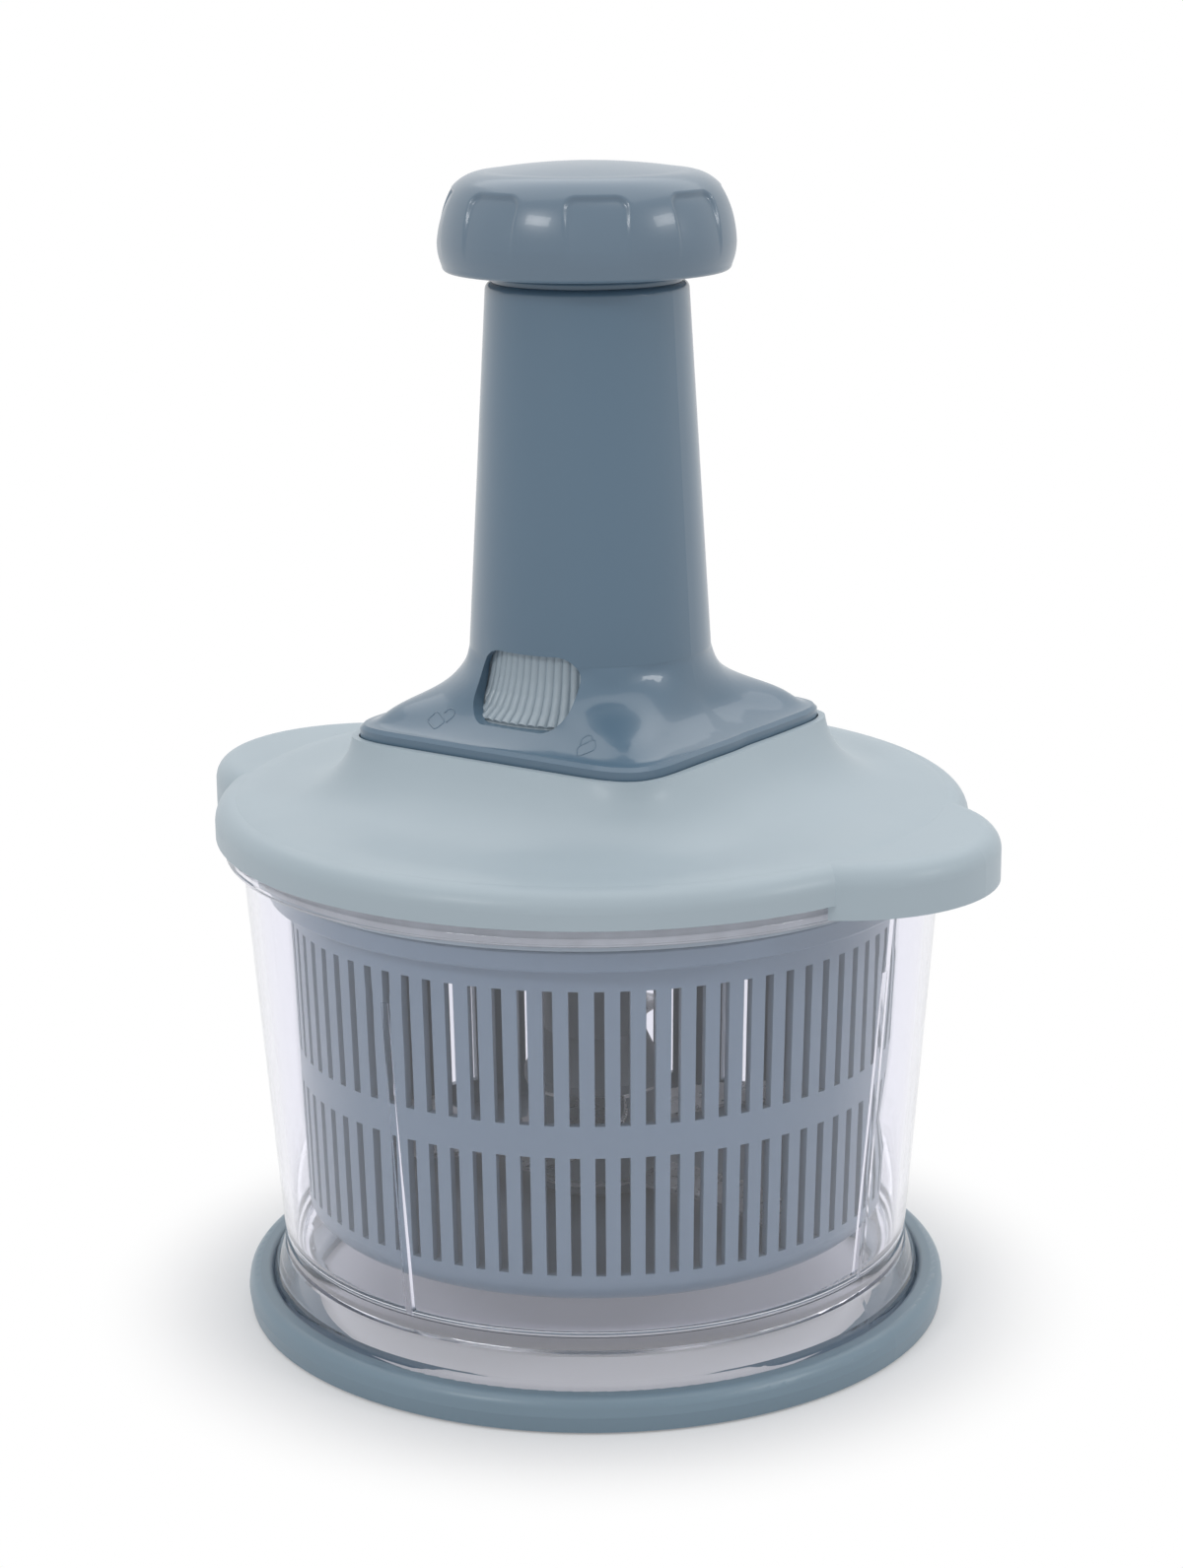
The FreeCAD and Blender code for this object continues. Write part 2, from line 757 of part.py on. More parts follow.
def make_blade_carrier():
    web_low = s.post_top + s.seat_gap
    web_high = web_low + s.carrier_web
    socket = s.nub_radius + s.run_gap
    edge_high = s.collar_underside + s.collar_edge
    corners = [
        (s.carrier_bore, s.carrier_bottom),
        (s.carrier_radius, s.carrier_bottom),
        (s.carrier_radius, s.collar_underside),
        (s.carrier_collar, s.collar_underside),
        (s.carrier_collar, edge_high),
        (s.carrier_radius, edge_high + s.collar_slope),
        (s.carrier_radius, s.carrier_shoulder),
        (s.carrier_hole, s.carrier_shoulder),
        (s.carrier_hole, web_high),
        (0, web_high),
        (0, web_low + s.nub_height + s.seat_gap),
        (socket, web_low + s.nub_height + s.seat_gap),
        (socket, web_low),
        (s.carrier_bore, web_low),
    ]
    body = turned("blade_carrier", corners)
    sketch = new_sketch(body, "drive_head_outline", "XY_Plane", s.carrier_shoulder)
    draw_hexagon(sketch, s.hex_flats)
    draw_circle(sketch, 0, 0, s.carrier_hole)
    head = body.newObject("PartDesign::Pad", "drive_head")
    head.Profile = sketch
    head.setExpression("Length", s.hex_height.text)
    body.Tip = head
    doc.recompute()


def blade_arm(low):
    """One swept arm: a convex cutting edge, a hollow back edge and a bevelled tip."""
    reach = float(s.blade_reach)
    root = float(s.blade_root)
    tip = float(s.blade_tip)
    sweep = float(s.blade_sweep)
    inner = float(s.carrier_radius)
    middle = (inner + reach) / 2.0
    front = Part.Arc(Vector(inner, root, 0), Vector(middle, root, 0),
                     Vector(reach, tip - sweep, 0))
    end = Part.LineSegment(Vector(reach, tip - sweep, 0),
                           Vector(reach - tip, -tip - sweep, 0))
    back = Part.Arc(Vector(reach - tip, -tip - sweep, 0),
                    Vector(middle, -root / 2.0 - sweep / 4.0, 0),
                    Vector(inner, -root, 0))
    close = Part.LineSegment(Vector(inner, -root, 0), Vector(inner, root, 0))
    wire = Part.Wire([curve.toShape() for curve in (front, end, back, close)])
    arm = Part.Face(wire).extrude(Vector(0, 0, float(s.blade_thickness)))
    edges = []
    for edge in arm.Edges:
        on_top = edge.BoundBox.ZMin > float(s.blade_thickness) - 0.001
        if on_top and edge.BoundBox.YMax > root - 0.001 and edge.BoundBox.XLength > root:
            edges.append(edge)
    arm = arm.makeChamfer(float(s.blade_bevel), edges)
    arm.translate(Vector(0, 0, float(low)))
    return arm


def make_blade(label, low, turn):
    """A two-armed blade with a round eye, turned on the carrier."""
    high = low + s.blade_thickness
    shape = cylinder(s.blade_hub, low, high)
    for half_turn in (0, 180):
        arm = blade_arm(low)
        arm.rotate(Vector(0, 0, 0), Vector(0, 0, 1), half_turn)
        shape = shape.fuse(arm)
    shape = shape.cut(cylinder(s.carrier_radius + s.press_gap, low, high))
    shape.rotate(Vector(0, 0, 0), Vector(0, 0, 1), turn)
    solid(label, shape.removeSplitter())


def make_blade_unit():
    make_blade_carrier()
    step = float(s.blade_step_angle)
    make_blade("blade_upper", blade_upper_low, step * 2)
    make_blade("blade_middle", blade_middle_low, step)
    make_blade("blade_lower", blade_lower_low, 0)
    eye = s.carrier_radius + s.press_gap
    for label, low in (("spacer_upper", blade_middle_low), ("spacer_lower", blade_lower_low)):
        bottom = low + s.blade_thickness
        plain_ring(label, eye, s.spacer_radius, bottom, bottom + s.spacer_height)
    plain_ring("blade_clamp_nut", eye, s.clamp_radius, clamp_low, blade_lower_low, [
        ([(s.clamp_radius, clamp_low)], s.clamp_height / 3),
    ])


# ---------------------------------------------------------------- lid

def lid_sections(wall):
    """Heights, sides and corners of the lid's dome, a wall's thickness inside it."""
    rim = s.lid_radius - s.lid_edge_round - s.join_step
    rise = s.lid_boss_top - lid_edge_top
    shape = [
        # share of the rise, share of the way in for a side and for a corner
        (0.00, 0.00, 0.00),
        (0.076, 0.32, 0.34),
        (0.234, 0.654, 0.705),
        (0.602, 0.871, 0.921),
        (1.00, 1.00, 1.00),
    ]
    sections = []
    for up, side_in, corner_in in shape:
        height = lid_edge_top + rise * up - wall
        side = rim - (rim - s.lid_boss_side) * side_in - wall
        corner = rim - (rim - s.lid_boss_corner) * corner_in - wall
        sections.append((float(height), float(side), float(corner)))
    return sections


def lobe(inset, low):
    """Upright disc under the round top edge of a tab, along +X, an inset inside the tab."""
    radius = float(s.tab_radius - inset)
    high = float(lid_edge_top - inset)
    disc = Part.makeCylinder(radius, high - low, Vector(float(s.tab_reach - s.tab_radius), 0, low))
    top_edge = [edge for edge in disc.Edges if edge.BoundBox.ZMin > high - 0.001]
    return disc.makeFillet(float(s.lid_edge_round - inset), top_edge)


def make_lid():
    wall = s.lid_wall
    rim = cylinder(s.lid_radius, lid_low, lid_edge_top)
    top_edge = [edge for edge in rim.Edges if edge.BoundBox.ZMin > float(lid_edge_top) - 0.001]
    rim = rim.makeFillet(float(s.lid_edge_round), top_edge)
    outside = rim.fuse(squared_loft(lid_sections(0)))
    tab_low = float(lid_edge_top - s.tab_height)
    tab_turns = (float(s.tab_turn), float(s.tab_turn) + 180.0)
    for turn in tab_turns:
        tab = lobe(0, tab_low).cut(cylinder(s.lid_radius - wall / 2, tab_low, lid_low))
        tab.rotate(Vector(0, 0, 0), Vector(0, 0, 1), turn)
        outside = outside.fuse(tab)
    inside = squared_loft(lid_sections(wall))
    under_floor = float(s.lid_floor_top - s.lid_floor)
    over = float(s.tab_reach)
    inside = inside.cut(Part.makeCylinder(over, over, Vector(0, 0, under_floor)))
    below = cylinder(s.lid_radius - s.lid_seat, lid_low, lid_edge_top - wall)
    shape = outside.cut(inside).cut(below)
    for turn in tab_turns:
        hollow = lobe(wall, tab_low).cut(cylinder(s.lid_radius, tab_low, lid_edge_top))
        hollow.rotate(Vector(0, 0, 0), Vector(0, 0, 1), turn)
        shape = shape.cut(hollow)
    skirt = turned_shape([
        (skirt_outer - s.skirt_wall, skirt_low),
        (skirt_outer, skirt_low),
        (skirt_outer, skirt_low + s.seal_up),
        (skirt_outer - s.seal_depth, skirt_low + s.seal_up),
        (skirt_outer - s.seal_depth, skirt_low + s.seal_up + s.seal_height),
        (skirt_outer, skirt_low + s.seal_up + s.seal_height),
        (skirt_outer, s.lid_boss_top),
        (skirt_outer - s.skirt_wall, s.lid_boss_top),
    ])
    above_rim = Part.makeCylinder(over, over, Vector(0, 0, float(lid_edge_top)))
    skirt = skirt.cut(above_rim).fuse(skirt.common(above_rim).common(outside))
    shape = shape.fuse(skirt)
    recess = squared_prism(s.base_side + s.pass_gap, s.base_corner + s.pass_gap,
                           s.lid_floor_top, s.lid_boss_top + 1)
    shape = shape.cut(recess)
    shape = shape.cut(cylinder(s.lid_hole, s.lid_floor_top - s.lid_floor - 1, s.lid_boss_top))
    hole = cylinder(s.screw_radius + s.pass_gap, under_floor - 1, s.lid_floor_top + 1)
    for copy in place_round(hole, s.lid_screw_circle, SCREWS):
        shape = shape.cut(copy)
    solid("lid", shape)


def make_lid_seal():
    low = skirt_low + s.seal_up
    inner = skirt_outer - s.seal_depth
    middle = low + s.seal_height / 2
    turned("lid_seal", [
        (inner, low),
        (skirt_outer, low),
        (skirt_outer + s.skirt_gap / 2, middle),
        (skirt_outer, low + s.seal_height),
        (inner, low + s.seal_height),
    ])


# ---------------------------------------------------------------- column

def flare_sections():
    """Heights, sides and corners of the foot of the column, from its edge to the round."""
    low = column_low + s.base_edge
    rise = s.flare_top - low
    side = s.base_side - s.base_round_in
    corner = s.base_corner - s.base_round_in
    top = s.column_low_radius - s.join_step
    shape = [
        # share of the rise, share of the way in for a side and for a corner
        (0.00, 0.00, 0.00),
        (0.14, 0.40, 0.22),
        (0.32, 0.70, 0.47),
        (0.52, 0.85, 0.79),
        (0.74, 0.94, 0.94),
        (1.00, 1.00, 1.00),
    ]
    sections = []
    for up, side_in, corner_in in shape:
        height = float(low + rise * up)
        side_now = side - (side - top) * side_in
        corner_now = corner - (corner - top) * corner_in
        sections.append((height, float(side_now), max(float(corner_now), float(side_now))))
    return sections


def cavity_profile(gap):
    """Inside of the column as (radius, height) from the bottom up, a gap inside it."""
    inset = float(s.column_wall) + gap
    edge_top = float(column_low + s.base_edge - s.base_round_in * 2)
    profile = [
        (float(s.cavity_radius) - gap, float(column_low)),
        (float(s.cavity_radius) - gap, edge_top),
    ]
    for height, side, _ in flare_sections():
        profile.append((min(side - inset, profile[-1][0]), height))
    top = s.column_top - s.bush_depth
    profile.append((float(column_radius(top)) - inset, float(top)))
    return profile


def cut_profile(profile, low, high):
    """The stretch of a profile between two heights, with its end points worked out."""
    low, high = float(low), float(high)
    stretch = []
    for (radius, height), (next_radius, next_height) in zip(profile, profile[1:]):
        if next_height <= low or height >= high or next_height == height:
            continue
        slope = (next_radius - radius) / (next_height - height)
        start = max(height, low)
        stretch.append((radius + slope * (start - height), start))
        if next_height >= high:
            stretch.append((radius + slope * (high - height), high))
    return stretch


def window_cutter():
    """Prism with a rounded outline that opens the column wall for the thumb slider."""
    width, low, high = float(s.window_width), float(s.window_low), float(s.window_high)
    reach = float(s.base_side)
    box = Part.makeBox(reach, width, high - low, Vector(float(s.tube_radius), -width / 2, low))
    sides = [edge for edge in box.Edges if edge.BoundBox.XLength > reach - 0.001]
    box = box.makeFillet(float(s.window_round), sides)
    box.rotate(Vector(0, 0, 0), Vector(0, 0, 1), float(s.window_angle))
    return box


def make_column():
    edge_low = float(column_low)
    edge_high = float(column_low + s.base_edge - s.base_round_in)
    sections = flare_sections()
    edge_ring = (edge_high, float(s.base_side), float(s.base_corner))
    base = squared_prism(s.base_side, s.base_corner, edge_low, edge_high)
    bevel = Part.makeLoft([squared_ring(edge_ring[1], edge_ring[2], edge_ring[0]),
                           squared_ring(sections[0][1], sections[0][2], sections[0][0])],
                          True, True)
    flare = squared_loft(sections)
    low, high = float(s.flare_top), float(s.column_top)
    shaft = Part.makeCone(float(s.column_low_radius), float(s.column_top_radius), high - low,
                          Vector(0, 0, low))
    top_edge = [edge for edge in shaft.Edges if edge.BoundBox.ZMin > high - 0.001]
    shaft = shaft.makeFillet(float(s.column_round), top_edge)
    shape = base.fuse(bevel).fuse(flare).fuse(shaft)
    lip = s.column_top_radius - s.column_wall
    corners = [(0, column_low)] + cavity_profile(0)
    corners += [(lip, s.column_top), (0, s.column_top)]
    shape = shape.cut(turned_shape(corners))
    plate = rounded_box(s.plate_side + s.press_gap, s.plate_round + s.press_gap,
                        column_low - 1, plate_top)
    shape = shape.cut(plate).cut(window_cutter())
    hole_high = plate_top + s.screw_length - s.plate_thickness
    hole = cylinder(s.screw_radius + s.press_gap, plate_top - 1, hole_high)
    for copy in place_round(hole, s.plate_screw_circle, SCREWS, 45.0):
        shape = shape.cut(copy)
    solid("column", shape)


def make_guide_bush():
    outer_low = column_radius(s.column_top - s.bush_depth) - s.column_wall - s.press_gap
    outer_high = s.column_top_radius - s.column_wall - s.press_gap
    bore = s.tube_radius + s.run_gap
    turned("guide_bush", [
        (bore, s.column_top - s.bush_depth),
        (outer_low, s.column_top - s.bush_depth),
        (outer_high, s.column_top),
        (s.bush_flange_radius, s.column_top),
        (s.bush_flange_radius, bush_top),
        (bore, bush_top),
    ], [([(s.bush_flange_radius, bush_top)], s.bush_flange / 2)])


# ---------------------------------------------------------------- base plate and clutch

def make_base_plate():
    shape = rounded_box(s.plate_side, s.plate_round, column_low, plate_top)
    shape = shape.fuse(cylinder(s.plate_hub_radius, plate_hub_low, column_low))
    boss = cylinder(s.boss_radius, plate_top, plate_top + s.boss_height)
    for copy in place_round(boss, s.lid_screw_circle, SCREWS):
        shape = shape.fuse(copy)
    shape = shape.cut(cylinder(s.journal_radius + s.run_gap, plate_hub_low, plate_top))
    blind = cylinder(s.screw_radius + s.press_gap, column_low - 1,
                     plate_top + s.boss_height - s.seat_gap)
    for copy in place_round(blind, s.lid_screw_circle, SCREWS):
        shape = shape.cut(copy)
    through = cylinder(s.screw_radius + s.press_gap, column_low - 1, plate_top + 1)
    sink = cylinder(s.screw_head_radius + s.press_gap, column_low - 1,
                    column_low + s.plate_thickness / 2)
    for cutter in (through, sink):
        for copy in place_round(cutter, s.plate_screw_circle, SCREWS, 45.0):
            shape = shape.cut(copy)
    solid("base_plate", shape.removeSplitter())


def screw(head_low, head, shank_high):
    """A pan screw that points up."""
    body = cylinder(s.screw_head_radius, head_low, head_low + head)
    return body.fuse(cylinder(s.screw_radius, head_low + head, shank_high))


def make_screws():
    head_low = s.lid_floor_top - s.lid_floor - s.screw_head
    shank_high = plate_top + s.boss_height - s.seat_gap * 2
    lid_screw = screw(head_low, s.screw_head, shank_high)
    solid("lid_screws", Part.makeCompound(place_round(lid_screw, s.lid_screw_circle, SCREWS)))
    shank_high = column_low + s.screw_length - s.seat_gap
    plate_screw = screw(column_low, s.plate_thickness / 2, shank_high)
    solid("plate_screws",
          Part.makeCompound(place_round(plate_screw, s.plate_screw_circle, SCREWS, 45.0)))


def make_clutch_housing():
    bore = s.driver_neck + s.run_gap
    turned("clutch_housing", [
        (s.housing_inner, plate_top),
        (s.housing_outer, plate_top),
        (s.housing_outer, housing_top),
        (bore, housing_top),
        (bore, housing_web_low),
        (s.housing_inner, housing_web_low),
    ])


def make_thrust_washer():
    plain_ring("thrust_washer", s.journal_radius + s.pass_gap, s.washer_radius,
               plate_top, washer_top)


def tooth_corners(low, high, gap):
    """Saw tooth seen along its radius: one upright flank and one ramp."""
    half = s.clutch_radius * math.sin(math.pi / float(s.tooth_count)) + gap
    return [(-half, low), (half, low), (half, high)]


def add_saw_teeth(body, kind, low, high, gap, reach):
    """Pad or pocket one radial saw tooth, as far out as its reach, and repeat it."""
    sketch = new_sketch(body, f"{body.Label}_tooth_outline", "YZ_Plane", s.tooth_inner)
    draw_outline(sketch, tooth_corners(low, high, gap))
    doc.recompute()
    before = body.Tip.Shape.Volume
    tooth = body.newObject(f"PartDesign::{kind}", f"{body.Label}_tooth")
    tooth.Profile = sketch
    tooth.setExpression("Length", (reach - s.tooth_inner).text)
    if kind == "Pocket":
        tooth.Reversed = True
    body.Tip = tooth
    doc.recompute()
    change = tooth.Shape.Volume - before
    if (kind == "Pad") != (change > 0):
        raise ValueError(f"{body.Label}: the tooth changes nothing")
    spread(body, tooth, s.tooth_count)


def make_output_hub():
    hole = s.cap_screw_radius + s.press_gap
    corners = [
        (hole, socket_top),
        (s.journal_radius, socket_top),
        (s.journal_radius, output_disc_low),
        (s.clutch_radius, output_disc_low),
        (s.clutch_radius, output_disc_top),
        (hole, output_disc_top),
    ]
    body = turned("output_hub", corners)
    bury = s.clutch_disc / 4
    add_saw_teeth(body, "Pad", output_disc_top - bury,
                  output_disc_top + s.tooth_height - s.seat_gap, as_size(0),
                  s.clutch_radius - s.tooth_set_in)


def make_clutch_driver():
    hole = s.rod_stub + s.press_gap
    corners = [
        (hole, rod_bottom),
        (s.tooth_inner - s.seat_gap, rod_bottom),
        (s.tooth_inner - s.seat_gap, driver_low),
        (s.clutch_radius, driver_low),
        (s.clutch_radius, driver_disc_top),
        (s.driver_neck, driver_disc_top),
        (s.driver_neck, driver_top),
        (hole, driver_top),
    ]
    body = turned("clutch_driver", corners)
    add_saw_teeth(body, "Pocket", driver_low - s.seat_gap - s.clutch_disc / 4,
                  driver_low + s.tooth_height, s.seat_gap, s.clutch_radius + s.seat_gap)


def make_blade_socket():
    hole = s.cap_screw_radius + s.press_gap
    corners = [
        (0, socket_low),
        (s.socket_radius, socket_low),
        (s.socket_radius, socket_web_low),
        (s.journal_radius, socket_top),
        (hole, socket_top),
        (hole, socket_web_low),
        (0, socket_web_low),
    ]
    body = turned("blade_socket", corners)
    sketch = new_sketch(body, "socket_hexagon", "XY_Plane", socket_web_low)
    draw_hexagon(sketch, s.hex_flats + s.pass_gap * 2)
    cut_down(body, "socket_bore", sketch, socket_web_low - socket_low)


def long_screw(label, head_low, head, head_radius, radius, shank_high):
    """A turned screw with a flat head below its shank."""
    head_high = head_low + head
    turned(label, [
        (0, head_low),
        (head_radius, head_low),
        (head_radius, head_high),
        (radius, head_high),
        (radius, shank_high),
        (0, shank_high),
    ])


# ---------------------------------------------------------------- rod, nut and plunger

def twisted_bar(width, thickness, low, high, phase):
    """A flat bar twisted about its own axis, with its edges on helices."""
    height = float(high) - float(low)
    lead = float(s.rod_lead)
    helix = Part.makeHelix(lead, height, float(width) / 2)
    helix.translate(Vector(0, 0, float(low)))
    spine = Part.Wire([Part.LineSegment(Vector(0, 0, float(low)),
                                        Vector(0, 0, float(high))).toShape()])
    half_w, half_t = float(width) / 2, float(thickness) / 2
    points = [Vector(-half_w, -half_t, float(low)), Vector(half_w, -half_t, float(low)),
              Vector(half_w, half_t, float(low)), Vector(-half_w, half_t, float(low))]
    profile = Part.makePolygon(points + [points[0]])
    pipe = Part.BRepOffsetAPI.MakePipeShell(spine)
    pipe.setAuxiliarySpine(Part.Wire(helix.Edges), False, 0)
    pipe.add(profile)
    pipe.build()
    pipe.makeSolid()
    shape = pipe.shape()
    shape.rotate(Vector(0, 0, 0), Vector(0, 0, 1), phase)
    return shape


def rod_phase(low):
    """Direction of the rod's width at a height, in degrees."""
    return 360.0 * (float(low) - float(tube_low)) / float(s.rod_lead)


def make_twisted_rod():
    twist_low = driver_top + s.seat_gap
    bar = twisted_bar(s.rod_width, s.rod_thickness, twist_low, s.rod_top, rod_phase(twist_low))
    stub = cylinder(s.rod_stub, rod_bottom, twist_low + s.rod_thickness / 2)
    spigot = cylinder(s.spigot_radius, s.rod_top, s.rod_top + s.spigot_height)
    solid("twisted_rod", bar.fuse(stub).fuse(spigot))


def make_drive_nut():
    low = tube_low + s.seat_gap
    high = low + s.nut_height
    shape = cylinder(s.tube_bore - s.press_gap, low, high)
    slot = twisted_bar(s.rod_width + s.rod_gap * 2, s.rod_thickness + s.rod_gap * 2,
                       low - 1, high + 1, rod_phase(low - 1))
    solid("drive_nut", shape.cut(slot))


def make_spring_seat():
    turned("spring_seat", [
        (s.spigot_radius + s.run_gap, s.rod_top),
        (s.spring_seat_radius, s.rod_top),
        (s.spring_seat_radius, s.rod_top + s.spring_seat),
        (s.spigot_radius + s.run_gap, s.rod_top + s.spring_seat),
    ])


def make_return_spring():
    """Coil spring with square wire, seated on the rod and pressing under the tube's web."""
    wire = float(s.spring_wire)
    low = float(spring_low)
    high = float(spring_high)
    radius = float(s.spring_radius)
    turns = float(s.spring_turns)
    pitch = (high - low - wire) / turns
    helix = Part.makeHelix(pitch, pitch * turns, radius)
    helix.translate(Vector(0, 0, low + wire / 2))
    corner = wire / 2 * 0.98
    points = [Vector(radius - corner, 0, low + wire / 2 - corner),
              Vector(radius + corner, 0, low + wire / 2 - corner),
              Vector(radius + corner, 0, low + wire / 2 + corner),
              Vector(radius - corner, 0, low + wire / 2 + corner)]
    profile = Part.makePolygon(points + [points[0]])
    shape = Part.Wire(helix.Edges).makePipeShell([profile], True, True)
    solid("return_spring", shape)


def make_plunger_tube():
    web_low = s.tube_top - s.tube_web
    hole = s.cap_screw_radius + s.press_gap
    tube = turned_shape([
        (s.tube_bore, tube_low),
        (s.tube_radius, tube_low),
        (s.tube_radius, s.tube_top),
        (hole, s.tube_top),
        (hole, web_low),
        (s.tube_bore, web_low),
    ])
    half = float(s.latch_width) / 2 + float(s.pass_gap)
    slot_high = float(s.ring_web_low + s.ring_web + s.pass_gap)
    slot_low = float(s.ring_web_low - s.pass_gap)
    open_low = float(tube_low) - 1
    side = math.degrees(half / float(s.tube_radius))
    inner = float(s.latch_reach) - float(s.pass_gap)
    inner = min(inner, float(s.tube_bore))
    outer = float(s.tube_radius) + 1
    for turn in (0, 180):
        lane = Part.makeBox(outer, half * 2, slot_high - open_low, Vector(0, -half, open_low))
        lane = lane.cut(Part.makeCylinder(inner, slot_high - open_low, Vector(0, 0, open_low)))
        lane.rotate(Vector(0, 0, 0), Vector(0, 0, 1), turn)
        rest = turned_shape([(inner, slot_low), (outer, slot_low), (outer, slot_high),
                             (inner, slot_high)], side + float(s.latch_angle), turn)
        tube = tube.cut(lane).cut(rest)
    solid("plunger_tube", tube)


# ---------------------------------------------------------------- thumb slider

def make_lock_ring():
    """Ring round the clutch housing, with two latch teeth that reach into the tube."""
    web_low = s.ring_web_low
    web_high = web_low + s.ring_web
    body = turned_shape([
        (ring_inner, ring_low),
        (ring_outer, ring_low),
        (ring_outer, web_high),
        (s.ring_hole, web_high),
        (s.ring_hole, web_low),
        (ring_inner, web_low),
    ])
    half = float(s.latch_width) / 2
    length = float(s.ring_hole + s.ring_web) - float(s.latch_reach)
    for turn in (0, 180):
        tooth = Part.makeBox(length, half * 2, float(s.ring_web),
                             Vector(float(s.latch_reach), -half, float(web_low)))
        tooth.rotate(Vector(0, 0, 0), Vector(0, 0, 1), turn)
        body = body.fuse(tooth)
    solid("lock_ring", body.removeSplitter())


def make_lock_pad():
    """Thumb pad that follows the inside of the flare, with upright ribs across it."""
    span = float(s.pad_rib_pitch) * (float(s.pad_rib_count) + 1)
    travel = float(s.latch_angle)
    centre = float(s.window_angle) - travel / 2
    low, high = float(s.pad_low), float(s.pad_high)
    behind = float(s.pass_gap + s.pad_rib_height)
    face = cut_profile(cavity_profile(behind), low, high)
    outer_back = ring_outer + s.press_gap
    step = s.ring_web_low + s.ring_web + s.press_gap
    back = [(s.housing_outer, high), (s.housing_outer, step), (outer_back, step), (outer_back, low)]
    shape = turned_shape(face + back, span, centre - span / 2)
    rib_angle = float(s.pad_rib_pitch) / 2
    lift = float(s.pad_rib_height)
    ridge = [(radius + lift, height) for radius, height in face]
    ring_clear = float(outer_back)
    bury = [(max(radius - lift, ring_clear), height) for radius, height in reversed(face)]
    for index in range(int(float(s.pad_rib_count))):
        middle = centre + float(s.pad_rib_pitch) * (index - (float(s.pad_rib_count) - 1) / 2)
        shape = shape.fuse(turned_shape(ridge + bury, rib_angle, middle - rib_angle / 2))
    solid("lock_pad", shape)


# ---------------------------------------------------------------- press cap

def arc_points(start, through, end):
    """An arc in the XZ plane through three (radius, height) points."""
    points = [Vector(float(radius), 0, float(height)) for radius, height in (start, through, end)]
    return Part.Arc(*points).toShape()


def cap_curves(inset):
    """Crown, shoulder and side of the cap from the axis outwards, an inset inside it."""
    top = float(s.cap_top) - inset
    crown = float(s.cap_crown_radius)
    crown_height = top - float(s.cap_crown_drop)
    shoulder = float(s.cap_shoulder_radius) - inset * 0.9
    shoulder_height = float(s.cap_top - s.cap_shoulder_drop) - inset * 0.4
    side = float(s.cap_radius) - inset
    side_height = float(s.cap_wide)
    crown_middle = (crown / 2, top - float(s.cap_crown_drop) / 4)
    shoulder_middle = (between(crown, shoulder, 0.64), between(crown_height, shoulder_height, 0.33))
    side_middle = (between(shoulder, side, 0.74), between(shoulder_height, side_height, 0.5))
    curves = [
        arc_points((0, top), crown_middle, (crown, crown_height)),
        arc_points((crown, crown_height), shoulder_middle, (shoulder, shoulder_height)),
        arc_points((shoulder, shoulder_height), side_middle, (side, side_height)),
    ]
    return curves


def cap_body(inset, low):
    """Solid under the cap's curves, down to a height, an inset inside the outer form."""
    curves = cap_curves(inset)
    side = curves[-1].Vertexes[-1].Point
    top = curves[0].Vertexes[0].Point
    hem_radius = float(s.cap_hem_radius) - inset
    hem_high = float(s.cap_low + s.cap_hem)
    hem_middle = (between(side.x, hem_radius, 0.36), between(side.z, hem_high, 0.55))
    curves.append(arc_points((side.x, side.z), hem_middle, (hem_radius, hem_high)))
    corner = Vector(hem_radius - float(s.cap_hem), 0, float(low))
    hem_end = Vector(hem_radius, 0, hem_high)
    curves.append(Part.LineSegment(hem_end, corner).toShape())
    curves.append(Part.LineSegment(corner, Vector(0, 0, float(low))).toShape())
    curves.append(Part.LineSegment(Vector(0, 0, float(low)), top).toShape())
    face = Part.Face(Part.Wire(curves))
    return face.revolve(Vector(0, 0, 0), Vector(0, 0, 1), 360)


def scoop_cutters():
    """Shallow hollows round the shoulder, from a small step at the crown to nothing."""
    _, shoulder, side = cap_curves(0.0)
    depth = float(s.scoop_depth)
    start = shoulder.valueAt(shoulder.FirstParameter)
    middle = (shoulder.FirstParameter + shoulder.LastParameter) / 2
    outward = shoulder.tangentAt(middle).cross(Vector(0, 1, 0))
    outward = outward * math.copysign(1.0, outward.x)
    begin = start + Vector(depth / 2, 0, -depth / 2)
    end = side.valueAt((side.FirstParameter + side.LastParameter) / 2)
    bottom = Part.Arc(begin, shoulder.valueAt(middle) - outward * depth, end).toShape()
    far, high = float(s.cap_radius) + depth, float(s.cap_top) + depth
    rest = Part.makePolygon([end, Vector(far, 0, end.z), Vector(far, 0, high),
                             Vector(begin.x, 0, high), begin])
    hollow = Part.Face(Part.Wire([bottom] + rest.Edges)).extrude(Vector(0, far * 2, 0))
    hollow.translate(Vector(0, -far, 0))
    hollow = hollow.common(wedge(far * 2, float(s.scoop_half_angle), end.z - depth, high + depth))
    return place_round(hollow, 0, int(float(s.scoop_count)), float(s.scoop_first))


def make_press_cap():
    boss_outer = s.tube_radius + s.cap_boss_wall
    outside = cap_body(0.0, s.cap_low)
    inside = cap_body(float(s.cap_wall), s.cap_low - s.cap_hem)
    screw_high = s.tube_top + s.cap_screw_length - s.tube_web
    boss = cylinder(boss_outer, cover_top, s.cap_top).common(outside)
    shape = outside.cut(inside).fuse(boss)
    shape = shape.cut(cylinder(s.tube_radius + s.press_gap, s.cap_low, s.tube_top))
    shape = shape.cut(cylinder(s.cap_screw_radius + s.press_gap, s.tube_top, screw_high))
    solid("press_cap", shape.cut(scoop_cutters()))


